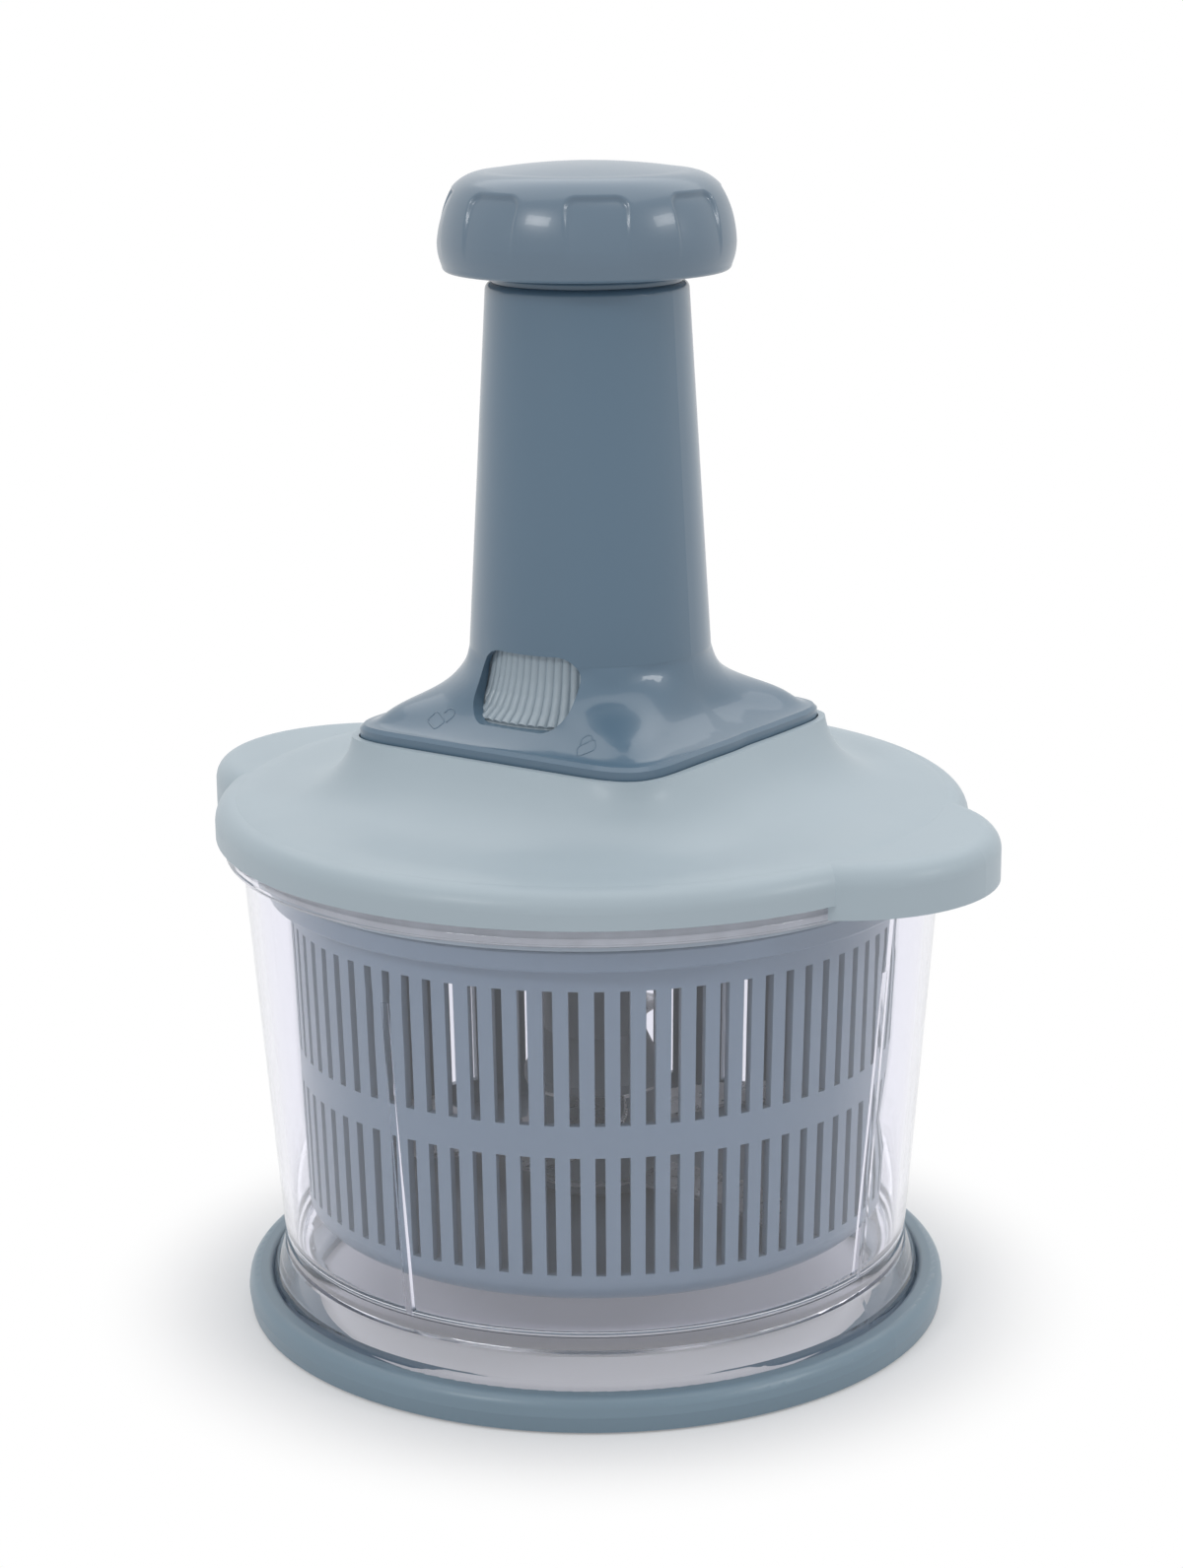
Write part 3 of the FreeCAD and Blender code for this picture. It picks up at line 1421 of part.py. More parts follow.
def make_cap_cover():
    bore = s.tube_radius + s.press_gap
    outer = s.cap_hem_radius - s.cap_wall - s.seat_gap
    turned("cap_cover", [
        (bore, cover_hub_low),
        (s.cover_hub_radius, cover_hub_low),
        (s.cover_hub_radius, cover_low),
        (outer, cover_low),
        (outer, cover_top),
        (bore, cover_top),
    ])


# ---------------------------------------------------------------- build and write

def make_all():
    make_base_tray()
    make_feet()
    make_bowl()
    make_bowl_pin()
    make_basket()
    make_blade_unit()
    make_lid()
    make_lid_seal()
    make_column()
    make_guide_bush()
    make_base_plate()
    make_screws()
    make_clutch_housing()
    make_thrust_washer()
    make_output_hub()
    make_clutch_driver()
    make_blade_socket()
    long_screw("socket_screw", socket_web_low - s.screw_head, s.screw_head,
               s.cap_screw_head, s.cap_screw_radius, output_disc_low)
    make_twisted_rod()
    make_drive_nut()
    make_spring_seat()
    make_return_spring()
    make_plunger_tube()
    make_lock_ring()
    make_lock_pad()
    make_press_cap()
    make_cap_cover()
    long_screw("cap_screw", s.tube_top - s.tube_web - s.screw_head, s.screw_head,
               s.cap_screw_head, s.cap_screw_radius,
               s.tube_top + s.cap_screw_length - s.tube_web - s.seat_gap)


def check_and_write():
    """Stop on any failed object or bad shape, then write every sub-part."""
    doc.recompute()
    for feature in doc.Objects:
        if "Invalid" in feature.State or "Error" in feature.State:
            raise ValueError(f"{feature.Name} failed: {feature.State}")
    os.makedirs("parts", exist_ok=True)
    bad = [part.Label for part in parts if part.Shape.isNull() or not part.Shape.isValid()]
    if bad:
        raise ValueError(f"bad shapes: {bad}")
    for part in parts:
        part.Shape.exportStep(f"parts/{part.Label}.step")
        print(part.Label, len(part.Shape.Solids), round(part.Shape.Volume))


make_all()
check_and_write()
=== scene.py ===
"""Looks of the plunger food chopper: finishes for every part, the scooped cap, the ribbed
lock slider, the teeth of the blades, the padlock marks and a plain studio."""

import json
import math

import bmesh
import bpy
from mathutils import Matrix, Vector
from mathutils.bvhtree import BVHTree


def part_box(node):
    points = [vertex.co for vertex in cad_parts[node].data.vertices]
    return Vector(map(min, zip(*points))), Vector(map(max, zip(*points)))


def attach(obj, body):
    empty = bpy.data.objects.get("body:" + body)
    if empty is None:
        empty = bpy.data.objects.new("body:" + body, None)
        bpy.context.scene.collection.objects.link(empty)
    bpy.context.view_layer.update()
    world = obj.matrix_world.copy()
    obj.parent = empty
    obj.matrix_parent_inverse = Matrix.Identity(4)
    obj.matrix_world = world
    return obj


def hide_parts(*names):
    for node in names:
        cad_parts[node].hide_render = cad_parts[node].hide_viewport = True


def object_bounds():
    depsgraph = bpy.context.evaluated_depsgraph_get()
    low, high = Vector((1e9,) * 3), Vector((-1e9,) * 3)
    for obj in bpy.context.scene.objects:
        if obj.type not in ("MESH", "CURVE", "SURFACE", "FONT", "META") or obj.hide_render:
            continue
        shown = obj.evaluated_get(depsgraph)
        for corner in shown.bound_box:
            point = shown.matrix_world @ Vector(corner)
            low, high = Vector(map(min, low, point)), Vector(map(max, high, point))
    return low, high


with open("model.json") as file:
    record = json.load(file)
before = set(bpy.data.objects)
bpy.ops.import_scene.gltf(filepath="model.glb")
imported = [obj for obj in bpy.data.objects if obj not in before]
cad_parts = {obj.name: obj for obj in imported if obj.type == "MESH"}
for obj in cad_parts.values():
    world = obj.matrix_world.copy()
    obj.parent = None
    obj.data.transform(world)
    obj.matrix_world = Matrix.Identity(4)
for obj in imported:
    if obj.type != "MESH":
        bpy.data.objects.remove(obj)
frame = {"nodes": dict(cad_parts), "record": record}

bl_info = {
    "name": "Plunger food chopper",
    "version": (1, 0, 0),
    "blender": (4, 5, 0),
    "location": "3D View > Sidebar > Chopper",
    "description": "Dresses the parts of a press-top food chopper and sets up its studio",
    "category": "Object",
}

MM = 0.001
ON_AXIS = 0.02 * MM             # radius of the first and last ring of a turned piece
PICTURE_LONG_SIDE = 1591        # pixels
BACKDROP = (1.0, 1.0, 1.0, 1.0)

cad_low, cad_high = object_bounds()


def linear(red, green, blue):
    """An 8-bit screen colour as Blender's linear numbers."""
    def channel(value):
        share = value / 255.0
        return share / 12.92 if share <= 0.04045 else ((share + 0.055) / 1.055) ** 2.4
    return (channel(red), channel(green), channel(blue))


# ---------------------------------------------------------------- settings

def colour_setting(name, what, default):
    return bpy.props.FloatVectorProperty(
        name=name, description=what, default=default, size=3, min=0.0, max=1.0, subtype="COLOR")


def length_setting(name, what, default):
    return bpy.props.FloatProperty(name=name, description=what, default=default, min=0.0,
                                   unit="LENGTH", subtype="DISTANCE", precision=5)


def angle_setting(name, what, degrees):
    return bpy.props.FloatProperty(name=name, description=what, default=math.radians(degrees),
                                   subtype="ANGLE")


class ChopperColours(bpy.types.PropertyGroup):
    cap: colour_setting("Cap", "Colour of the push cap", linear(101, 121, 138))
    column: colour_setting("Column", "Colour of the column", linear(88, 114, 134))
    lid: colour_setting("Lid", "Colour of the lid", linear(169, 183, 191))
    slider: colour_setting("Slider", "Colour of the lock slider", linear(164, 178, 187))
    basket: colour_setting("Basket", "Colour of the basket", linear(132, 149, 165))
    ring: colour_setting("Base ring", "Colour of the base ring", linear(123, 144, 158))
    clear: colour_setting("Bowl", "Tint of the clear bowl", linear(246, 246, 252))
    seal: colour_setting("Seal", "Colour of the lid's seal", linear(205, 209, 212))
    feet: colour_setting("Feet", "Colour of the rubber feet", linear(52, 55, 58))
    steel: colour_setting("Steel", "Colour of blades, pin, spring and screws", linear(196, 198, 200))
    inner_grey: colour_setting("Inner grey", "Colour of the grey inner parts", linear(112, 124, 134))
    inner_white: colour_setting("Inner white", "Colour of the white drive parts", linear(226, 227, 224))


class ChopperCap(bpy.types.PropertyGroup):
    scoops: bpy.props.IntProperty(name="Scoops", description="Hollows round the cap's shoulder",
                                  default=8, min=0, max=24)
    half_width: length_setting("Half width", "Half the width of a scoop", 8.6 * MM)
    first: angle_setting("First scoop", "Direction of the first scoop", -51.0)
    depth: length_setting("Depth", "Depth of a scoop at its top", 1.2 * MM)
    flank: length_setting("Flank", "Width of the slope at a scoop's edge", 1.4 * MM)
    inner_edge: length_setting("Inner edge", "Distance of a scoop's top from the axis", 34.2 * MM)
    fade: length_setting("Fade", "How far below its top a scoop has run out", 18.0 * MM)
    wall: length_setting("Wall", "Thickness of the cap's wall", 2.6 * MM)


class ChopperSlider(bpy.types.PropertyGroup):
    ribs: bpy.props.IntProperty(name="Ribs", description="Upright ribs on the slider",
                                default=18, min=2, max=60)
    depth: length_setting("Depth", "Height of a rib above the groove beside it", 0.8 * MM)
    back: length_setting("Back", "Distance of the slider's back from the axis", 28.1 * MM)
    skirt: length_setting("Skirt", "How far the face reaches below the CAD part's", 1.4 * MM)


class ChopperTeeth(bpy.types.PropertyGroup):
    count: bpy.props.IntProperty(name="Teeth", description="Teeth along one cutting edge",
                                 default=26, min=2, max=200)
    radius: length_setting("Radius", "Radius of a tooth", 0.55 * MM)
    start: bpy.props.FloatProperty(name="Start", description="Share of the reach where teeth start",
                                   default=0.34, min=0.0, max=1.0)
    end: bpy.props.FloatProperty(name="End", description="Share of the reach where teeth end",
                                 default=0.93, min=0.0, max=1.0)


class ChopperMarks(bpy.types.PropertyGroup):
    line: length_setting("Line", "Width of the raised line of a padlock mark", 0.42 * MM)
    width: length_setting("Width", "Width of a padlock's body", 4.6 * MM)
    height: length_setting("Height", "Height of a padlock's body", 3.8 * MM)
    open_angle: angle_setting("Open mark", "Direction of the open padlock", -118.0)
    closed_angle: angle_setting("Closed mark", "Direction of the closed padlock", -56.5)
    open_distance: length_setting("Open distance", "Distance of the open mark from the axis",
                                  46.5 * MM)
    closed_distance: length_setting("Closed distance", "Distance of the closed mark from the axis",
                                    50.4 * MM)


class ChopperStudio(bpy.types.PropertyGroup):
    azimuth: angle_setting("Azimuth", "Direction of the camera round the object", 35.0)
    pitch: angle_setting("Pitch", "How far the camera looks down", 14.61)
    roll: angle_setting("Roll", "How far the camera is turned about its view", -0.5)
    reach: length_setting("Reach", "Level distance of the camera from the axis", 839.5 * MM)
    height: length_setting("Height", "Height of the camera above the table", 362.1 * MM)
    focal_pixels: bpy.props.FloatProperty(
        name="Focal length", description="Focal length in pixels of the long side",
        default=3300.0, min=1.0)


# ---------------------------------------------------------------- node helpers

def new_material(name):
    """A material with a Principled surface, and the nodes and links to add to it."""
    material = bpy.data.materials.new(name)
    material.use_nodes = True
    tree = material.node_tree
    return material, tree, tree.nodes["Principled BSDF"]


def object_coordinates(tree, scale):
    """Object coordinates, stretched by a scale along X, Y and Z."""
    place = tree.nodes.new("ShaderNodeTexCoord")
    mapping = tree.nodes.new("ShaderNodeMapping")
    mapping.inputs["Scale"].default_value = scale
    tree.links.new(place.outputs["Object"], mapping.inputs["Vector"])
    return mapping.outputs["Vector"]


def noise(tree, vector, scale, detail):
    """Noise with so many features to the metre."""
    texture = tree.nodes.new("ShaderNodeTexNoise")
    texture.inputs["Scale"].default_value = scale
    texture.inputs["Detail"].default_value = detail
    tree.links.new(vector, texture.inputs["Vector"])
    return texture.outputs["Fac"]


def shaded(colour, share):
    """A colour made darker or lighter, with its alpha."""
    return tuple(min(1.0, channel * share) for channel in colour) + (1.0,)


def colour_between(tree, factor, low, high):
    """A colour ramp from one colour to another."""
    ramp = tree.nodes.new("ShaderNodeValToRGB")
    ramp.color_ramp.elements[0].position = 0.3
    ramp.color_ramp.elements[0].color = low
    ramp.color_ramp.elements[1].position = 0.7
    ramp.color_ramp.elements[1].color = high
    tree.links.new(factor, ramp.inputs["Fac"])
    return ramp.outputs["Color"]


def range_between(tree, factor, low, high):
    """A value that runs from one number to another with a factor."""
    spread = tree.nodes.new("ShaderNodeMapRange")
    spread.inputs["From Min"].default_value = 0.3
    spread.inputs["From Max"].default_value = 0.7
    spread.inputs["To Min"].default_value = low
    spread.inputs["To Max"].default_value = high
    tree.links.new(factor, spread.inputs["Value"])
    return spread.outputs["Result"]


def bump(tree, shader, height, distance, strength):
    """Relief in a shader's surface, from a height of 0 to 1 and its full distance."""
    node = tree.nodes.new("ShaderNodeBump")
    node.inputs["Distance"].default_value = distance
    node.inputs["Strength"].default_value = strength
    tree.links.new(height, node.inputs["Height"])
    tree.links.new(node.outputs["Normal"], shader.inputs["Normal"])


def worked_out(tree, operation, *terms):
    """The result of a sum on numbers and on other nodes' outputs."""
    node = tree.nodes.new("ShaderNodeMath")
    node.operation = operation
    for socket, term in zip(node.inputs, terms):
        if isinstance(term, float):
            socket.default_value = term
        else:
            tree.links.new(term, socket)
    return node.outputs["Value"]


def mixed(tree, share, first, second):
    """A shader between two others."""
    mix = tree.nodes.new("ShaderNodeMixShader")
    tree.links.new(share, mix.inputs["Fac"])
    tree.links.new(first, mix.inputs[1])
    tree.links.new(second, mix.inputs[2])
    return mix.outputs["Shader"]


# ---------------------------------------------------------------- finishes

# features to the metre in the finishes
FLOW_MARKS = 18.0
GLOSS_SPOTS = 55.0
SKIN_GRAIN = 900.0
CLEAR_FLOW = 22.0
DUST = 130.0
RUBBER_TOOTH = 1400.0
SCRATCHES = 260.0

# how deep the clear bowl tints what is seen through it
CLEAR_DENSITY = 5.0
CLEAR_DEPTH_COLOUR = (0.1, 0.1, 0.35, 1.0)
CLEAR_SKIN_TINT = (0.985, 0.985, 0.99, 1.0)
LOST_RAY_DEPTH = 4.5            # a ray that has met more surfaces than this goes straight on


def moulded_plastic(name, colour, roughness, coat, grain=0.02):
    """Injection-moulded plastic: faint flow marks in colour and gloss, and a soft skin."""
    material, tree, shader = new_material(name)
    wide = object_coordinates(tree, (1.0, 1.0, 1.0))
    flow = noise(tree, wide, FLOW_MARKS, 3.0)
    tint = colour_between(tree, flow, shaded(colour, 0.985), shaded(colour, 1.015))
    tree.links.new(tint, shader.inputs["Base Color"])
    spots = noise(tree, wide, GLOSS_SPOTS, 2.0)
    gloss = range_between(tree, spots, roughness * 0.95, roughness * 1.05)
    tree.links.new(gloss, shader.inputs["Roughness"])
    shader.inputs["IOR"].default_value = 1.5
    shader.inputs["Coat Weight"].default_value = coat
    shader.inputs["Coat Roughness"].default_value = 0.045
    bump(tree, shader, noise(tree, wide, SKIN_GRAIN, 2.0), 0.02 * MM, grain)
    return material


def cap_finish(colours):
    return moulded_plastic("cap_gloss", colours.cap, 0.3, 0.2)


def column_finish(colours):
    return moulded_plastic("column_gloss", colours.column, 0.34, 0.4)


def lid_finish(colours):
    return moulded_plastic("lid_gloss", colours.lid, 0.46, 0.06)


def slider_finish(colours):
    return moulded_plastic("slider_satin", colours.slider, 0.34, 0.05)


def basket_finish(colours):
    return moulded_plastic("basket_gloss", colours.basket, 0.3, 0.1)


def ring_finish(colours):
    return moulded_plastic("ring_satin", colours.ring, 0.36, 0.05, grain=0.05)


def inner_grey_finish(colours):
    return moulded_plastic("inner_grey_satin", colours.inner_grey, 0.4, 0.0)


def inner_white_finish(colours):
    return moulded_plastic("inner_white_satin", colours.inner_white, 0.42, 0.0)


def clear_finish(colours):
    """Clear moulded plastic: it bends light, with faint flow lines in its skin."""
    material, tree, shader = new_material("bowl_clear")
    wide = object_coordinates(tree, (1.0, 1.0, 0.4))
    flow = noise(tree, wide, CLEAR_FLOW, 2.0)
    tint = colour_between(tree, flow, shaded(colours.clear, 0.99), shaded(colours.clear, 1.0))
    tree.links.new(tint, shader.inputs["Base Color"])
    shader.inputs["Roughness"].default_value = 0.02
    shader.inputs["IOR"].default_value = 1.46
    shader.inputs["Transmission Weight"].default_value = 1.0
    bump(tree, shader, flow, 0.05 * MM, 0.05)
    let_light_through(tree, shader)
    depth = tree.nodes.new("ShaderNodeVolumeAbsorption")
    depth.inputs["Color"].default_value = CLEAR_DEPTH_COLOUR
    depth.inputs["Density"].default_value = CLEAR_DENSITY
    tree.links.new(depth.outputs["Volume"], tree.nodes["Material Output"].inputs["Volume"])
    return material


def let_light_through(tree, shader):
    """Shadow, diffuse and long-lost rays pass straight through, so that the inside is lit."""
    path = tree.nodes.new("ShaderNodeLightPath")
    lost = worked_out(tree, "GREATER_THAN", path.outputs["Ray Depth"], LOST_RAY_DEPTH)
    passing = worked_out(tree, "MAXIMUM", path.outputs["Is Shadow Ray"],
                         path.outputs["Is Diffuse Ray"])
    passing = worked_out(tree, "MAXIMUM", passing, lost)
    clear = tree.nodes.new("ShaderNodeBsdfTransparent")
    clear.inputs["Color"].default_value = CLEAR_SKIN_TINT
    surface = mixed(tree, passing, shader.outputs["BSDF"], clear.outputs["BSDF"])
    tree.links.new(surface, tree.nodes["Material Output"].inputs["Surface"])


def rubber_finish(name, colour, roughness):
    """Rubber: dull, with a fine even tooth."""
    material, tree, shader = new_material(name)
    wide = object_coordinates(tree, (1.0, 1.0, 1.0))
    dust = noise(tree, wide, DUST, 4.0)
    tint = colour_between(tree, dust, shaded(colour, 0.92), shaded(colour, 1.08))
    tree.links.new(tint, shader.inputs["Base Color"])
    shader.inputs["Roughness"].default_value = roughness
    shader.inputs["Specular IOR Level"].default_value = 0.35
    bump(tree, shader, noise(tree, wide, RUBBER_TOOTH, 2.0), 0.05 * MM, 0.3)
    return material


def seal_finish(colours):
    return rubber_finish("seal_soft", colours.seal, 0.55)


def feet_finish(colours):
    return rubber_finish("feet_rubber", colours.feet, 0.75)


def steel_finish(colours):
    """Brushed steel: fine scratches that run round the pieces."""
    material, tree, shader = new_material("steel_brushed")
    stretched = object_coordinates(tree, (1.0, 1.0, 14.0))
    scratches = noise(tree, stretched, SCRATCHES, 4.0)
    tint = colour_between(tree, scratches, shaded(colours.steel, 0.86), shaded(colours.steel, 1.06))
    tree.links.new(tint, shader.inputs["Base Color"])
    gloss = range_between(tree, scratches, 0.22, 0.38)
    tree.links.new(gloss, shader.inputs["Roughness"])
    shader.inputs["Metallic"].default_value = 1.0
    bump(tree, shader, scratches, 0.02 * MM, 0.15)
    return material


FINISHES = {
    "cap": cap_finish,
    "column": column_finish,
    "lid": lid_finish,
    "slider": slider_finish,
    "basket": basket_finish,
    "ring": ring_finish,
    "clear_bowl": clear_finish,
    "seal": seal_finish,
    "feet": feet_finish,
    "steel": steel_finish,
    "inner_grey": inner_grey_finish,
    "inner_white": inner_white_finish,
}
made_finishes = {}


def finish_for(slot):
    """The finish of one material slot, made the first time it is asked for."""
    if slot not in made_finishes:
        made_finishes[slot] = FINISHES[slot](bpy.context.scene.chopper_colours)
    return made_finishes[slot]


# ---------------------------------------------------------------- mesh helpers

def lathe_point(radius, angle, height):
    """The point at a distance, a direction and a height from the vertical axis."""
    return Vector((radius * math.cos(angle), radius * math.sin(angle), height))


def arc_through(start, middle, end, steps):
    """Points on the circle through three (radius, height) points, the start left out."""
    (ax, ay), (bx, by), (cx, cy) = start, middle, end
    turn = 2.0 * (ax * (by - cy) + bx * (cy - ay) + cx * (ay - by))
    a2, b2, c2 = ax * ax + ay * ay, bx * bx + by * by, cx * cx + cy * cy
    ux = (a2 * (by - cy) + b2 * (cy - ay) + c2 * (ay - by)) / turn
    uy = (a2 * (cx - bx) + b2 * (ax - cx) + c2 * (bx - ax)) / turn
    radius = math.hypot(ax - ux, ay - uy)
    first = math.atan2(ay - uy, ax - ux)
    last = math.atan2(cy - uy, cx - ux)
    sweep = (last - first + math.pi) % (2.0 * math.pi) - math.pi
    return [(ux + radius * math.cos(first + sweep * step / steps),
             uy + radius * math.sin(first + sweep * step / steps)) for step in range(1, steps + 1)]


def placed(name, data):
    """A new object in the scene, at the origin."""
    thing = bpy.data.objects.new(name, data)
    bpy.context.collection.objects.link(thing)
    return thing


def mesh_object(name, points, faces):
    """A new smooth object from points and faces, with its normals turned outwards."""
    mesh = bpy.data.meshes.new(name)
    mesh.from_pydata([tuple(point) for point in points], [], faces)
    work = bmesh.new()
    work.from_mesh(mesh)
    bmesh.ops.remove_doubles(work, verts=work.verts, dist=0.001 * MM)
    bmesh.ops.recalc_face_normals(work, faces=work.faces)
    work.to_mesh(mesh)
    work.free()
    mesh.shade_smooth()
    return placed(name, mesh)


def lathe(name, outline, around, push):
    """A closed solid turned about the vertical axis; push moves each point that it is given."""
    points = []
    for index, (radius, height) in enumerate(outline):
        for step in range(around):
            angle = 2.0 * math.pi * step / around
            point = lathe_point(radius, angle, height)
            points.append(push(index, angle, point))
    faces = []
    for row in range(len(outline) - 1):
        for step in range(around):
            after = (step + 1) % around
            low, high = row * around, (row + 1) * around
            faces.append((low + step, low + after, high + after, high + step))
    return mesh_object(name, points, faces)


def dress(thing, slot, body, *nodes):
    """Give a new piece the finish of a slot, let it ride, and hide the CAD nodes that it stands for."""
    thing.data.materials.clear()
    thing.data.materials.append(finish_for(slot))
    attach(thing, body)
    if nodes:
        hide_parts(*nodes)


def node_shape(node):
    """A search tree over a CAD node's surface, to lay marks on it."""
    mesh = frame["nodes"][node].data
    points = [vertex.co.copy() for vertex in mesh.vertices]
    faces = [tuple(face.vertices) for face in mesh.polygons]
    return BVHTree.FromPolygons(points, faces)


def sharpen(thing, degrees):
    """Keep edges sharper than an angle crisp on a smooth-shaded mesh."""
    work = bmesh.new()
    work.from_mesh(thing.data)
    for edge in work.edges:
        if len(edge.link_faces) == 2 and edge.calc_face_angle(0.0) > math.radians(degrees):
            edge.smooth = False
    work.to_mesh(thing.data)
    work.free()


# ---------------------------------------------------------------- what repeats

def geometry_tree(name, inputs):
    """A geometry tree that takes a mesh and gives one, with named inputs for its sizes."""
    tree = bpy.data.node_groups.new(name, "GeometryNodeTree")
    tree.interface.new_socket("Geometry", in_out="INPUT", socket_type="NodeSocketGeometry")
    for label, kind in inputs:
        tree.interface.new_socket(label, in_out="INPUT", socket_type=kind)
    tree.interface.new_socket("Geometry", in_out="OUTPUT", socket_type="NodeSocketGeometry")
    return tree, tree.nodes.new("NodeGroupInput"), tree.nodes.new("NodeGroupOutput")


def finish_tree(tree, given, result, copies):
    """Turn copies into a smooth plain mesh with its material, as the tree's result."""
    real = tree.nodes.new("GeometryNodeRealizeInstances")
    smooth = tree.nodes.new("GeometryNodeSetShadeSmooth")
    paint = tree.nodes.new("GeometryNodeSetMaterial")
    tree.links.new(copies, real.inputs["Geometry"])
    tree.links.new(real.outputs["Geometry"], smooth.inputs["Geometry"])
    tree.links.new(smooth.outputs["Geometry"], paint.inputs["Geometry"])
    tree.links.new(given.outputs["Finish"], paint.inputs["Material"])
    tree.links.new(paint.outputs["Geometry"], result.inputs["Geometry"])


def round_copies():
    """Tree: a round rib along the given line, copied round the vertical axis."""
    tree, given, result = geometry_tree("round_copies", (
        ("Count", "NodeSocketInt"),
        ("Step", "NodeSocketFloat"),
        ("First", "NodeSocketFloat"),
        ("Radius", "NodeSocketFloat"),
        ("Finish", "NodeSocketMaterial"),
    ))
    path = tree.nodes.new("GeometryNodeMeshToCurve")
    ring = tree.nodes.new("GeometryNodeCurvePrimitiveCircle")
    ring.inputs["Resolution"].default_value = 24
    rib = tree.nodes.new("GeometryNodeCurveToMesh")
    rib.inputs["Fill Caps"].default_value = True
    tree.links.new(given.outputs["Geometry"], path.inputs["Mesh"])
    tree.links.new(given.outputs["Radius"], ring.inputs["Radius"])
    tree.links.new(path.outputs["Curve"], rib.inputs["Curve"])
    tree.links.new(ring.outputs["Curve"], rib.inputs["Profile Curve"])
    places = tree.nodes.new("GeometryNodeMeshLine")
    places.inputs["Offset"].default_value = (0.0, 0.0, 0.0)
    tree.links.new(given.outputs["Count"], places.inputs["Count"])
    number = tree.nodes.new("GeometryNodeInputIndex").outputs["Index"]
    turn = worked_out(tree, "MULTIPLY_ADD", number, given.outputs["Step"], given.outputs["First"])
    spin = tree.nodes.new("ShaderNodeCombineXYZ")
    tree.links.new(turn, spin.inputs["Z"])
    copies = tree.nodes.new("GeometryNodeInstanceOnPoints")
    tree.links.new(places.outputs["Mesh"], copies.inputs["Points"])
    tree.links.new(rib.outputs["Mesh"], copies.inputs["Instance"])
    tree.links.new(spin.outputs["Vector"], copies.inputs["Rotation"])
    finish_tree(tree, given, result, copies.outputs["Instances"])
    return tree


def teeth_along():
    """Tree: small upright round teeth, evenly along each of the given lines."""
    tree, given, result = geometry_tree("teeth_along", (
        ("Count", "NodeSocketInt"),
        ("Radius", "NodeSocketFloat"),
        ("Height", "NodeSocketFloat"),
        ("Finish", "NodeSocketMaterial"),
    ))
    path = tree.nodes.new("GeometryNodeMeshToCurve")
    even = tree.nodes.new("GeometryNodeResampleCurve")
    tree.links.new(given.outputs["Geometry"], path.inputs["Mesh"])
    tree.links.new(path.outputs["Curve"], even.inputs["Curve"])
    tree.links.new(given.outputs["Count"], even.inputs["Count"])
    tooth = tree.nodes.new("GeometryNodeMeshCylinder")
    tooth.inputs["Vertices"].default_value = 12
    tree.links.new(given.outputs["Radius"], tooth.inputs["Radius"])
    tree.links.new(given.outputs["Height"], tooth.inputs["Depth"])
    copies = tree.nodes.new("GeometryNodeInstanceOnPoints")
    tree.links.new(even.outputs["Curve"], copies.inputs["Points"])
    tree.links.new(tooth.outputs["Mesh"], copies.inputs["Instance"])
    finish_tree(tree, given, result, copies.outputs["Instances"])
    return tree


def polylines(name, lines):
    """A helper object with nothing but the edges along some lines of points."""
    points, edges = [], []
    for line in lines:
        base = len(points)
        points += [tuple(point) for point in line]
        edges += [(base + index, base + index + 1) for index in range(len(line) - 1)]
    mesh = bpy.data.meshes.new(name)
    mesh.from_pydata(points, edges, [])
    return placed(name, mesh)


def grown(name, start, tree, values):
    """The plain mesh object that a geometry tree makes of a helper object, which goes."""
    modifier = start.modifiers.new(tree.name, "NODES")
    modifier.node_group = tree
    for socket in tree.interface.items_tree:
        if socket.in_out == "INPUT" and socket.name in values:
            modifier[socket.identifier] = values[socket.name]
    graph = bpy.context.evaluated_depsgraph_get()
    mesh = bpy.data.meshes.new_from_object(start.evaluated_get(graph))
    start.modifiers.remove(modifier)
    bpy.data.objects.remove(start)
    return placed(name, mesh)


# ---------------------------------------------------------------- operators

class CHOPPER_OT_finishes(bpy.types.Operator):
    """Give every CAD part the finish of its material slot"""
    bl_idname = "chopper.finishes"
    bl_label = "Finish all parts"

    def execute(self, context):
        for row in frame["record"]["subparts"]:
            thing = frame["nodes"][row["node"]]
            thing.data.materials.clear()
            thing.data.materials.append(finish_for(row["material_slot"]))
        return {"FINISHED"}


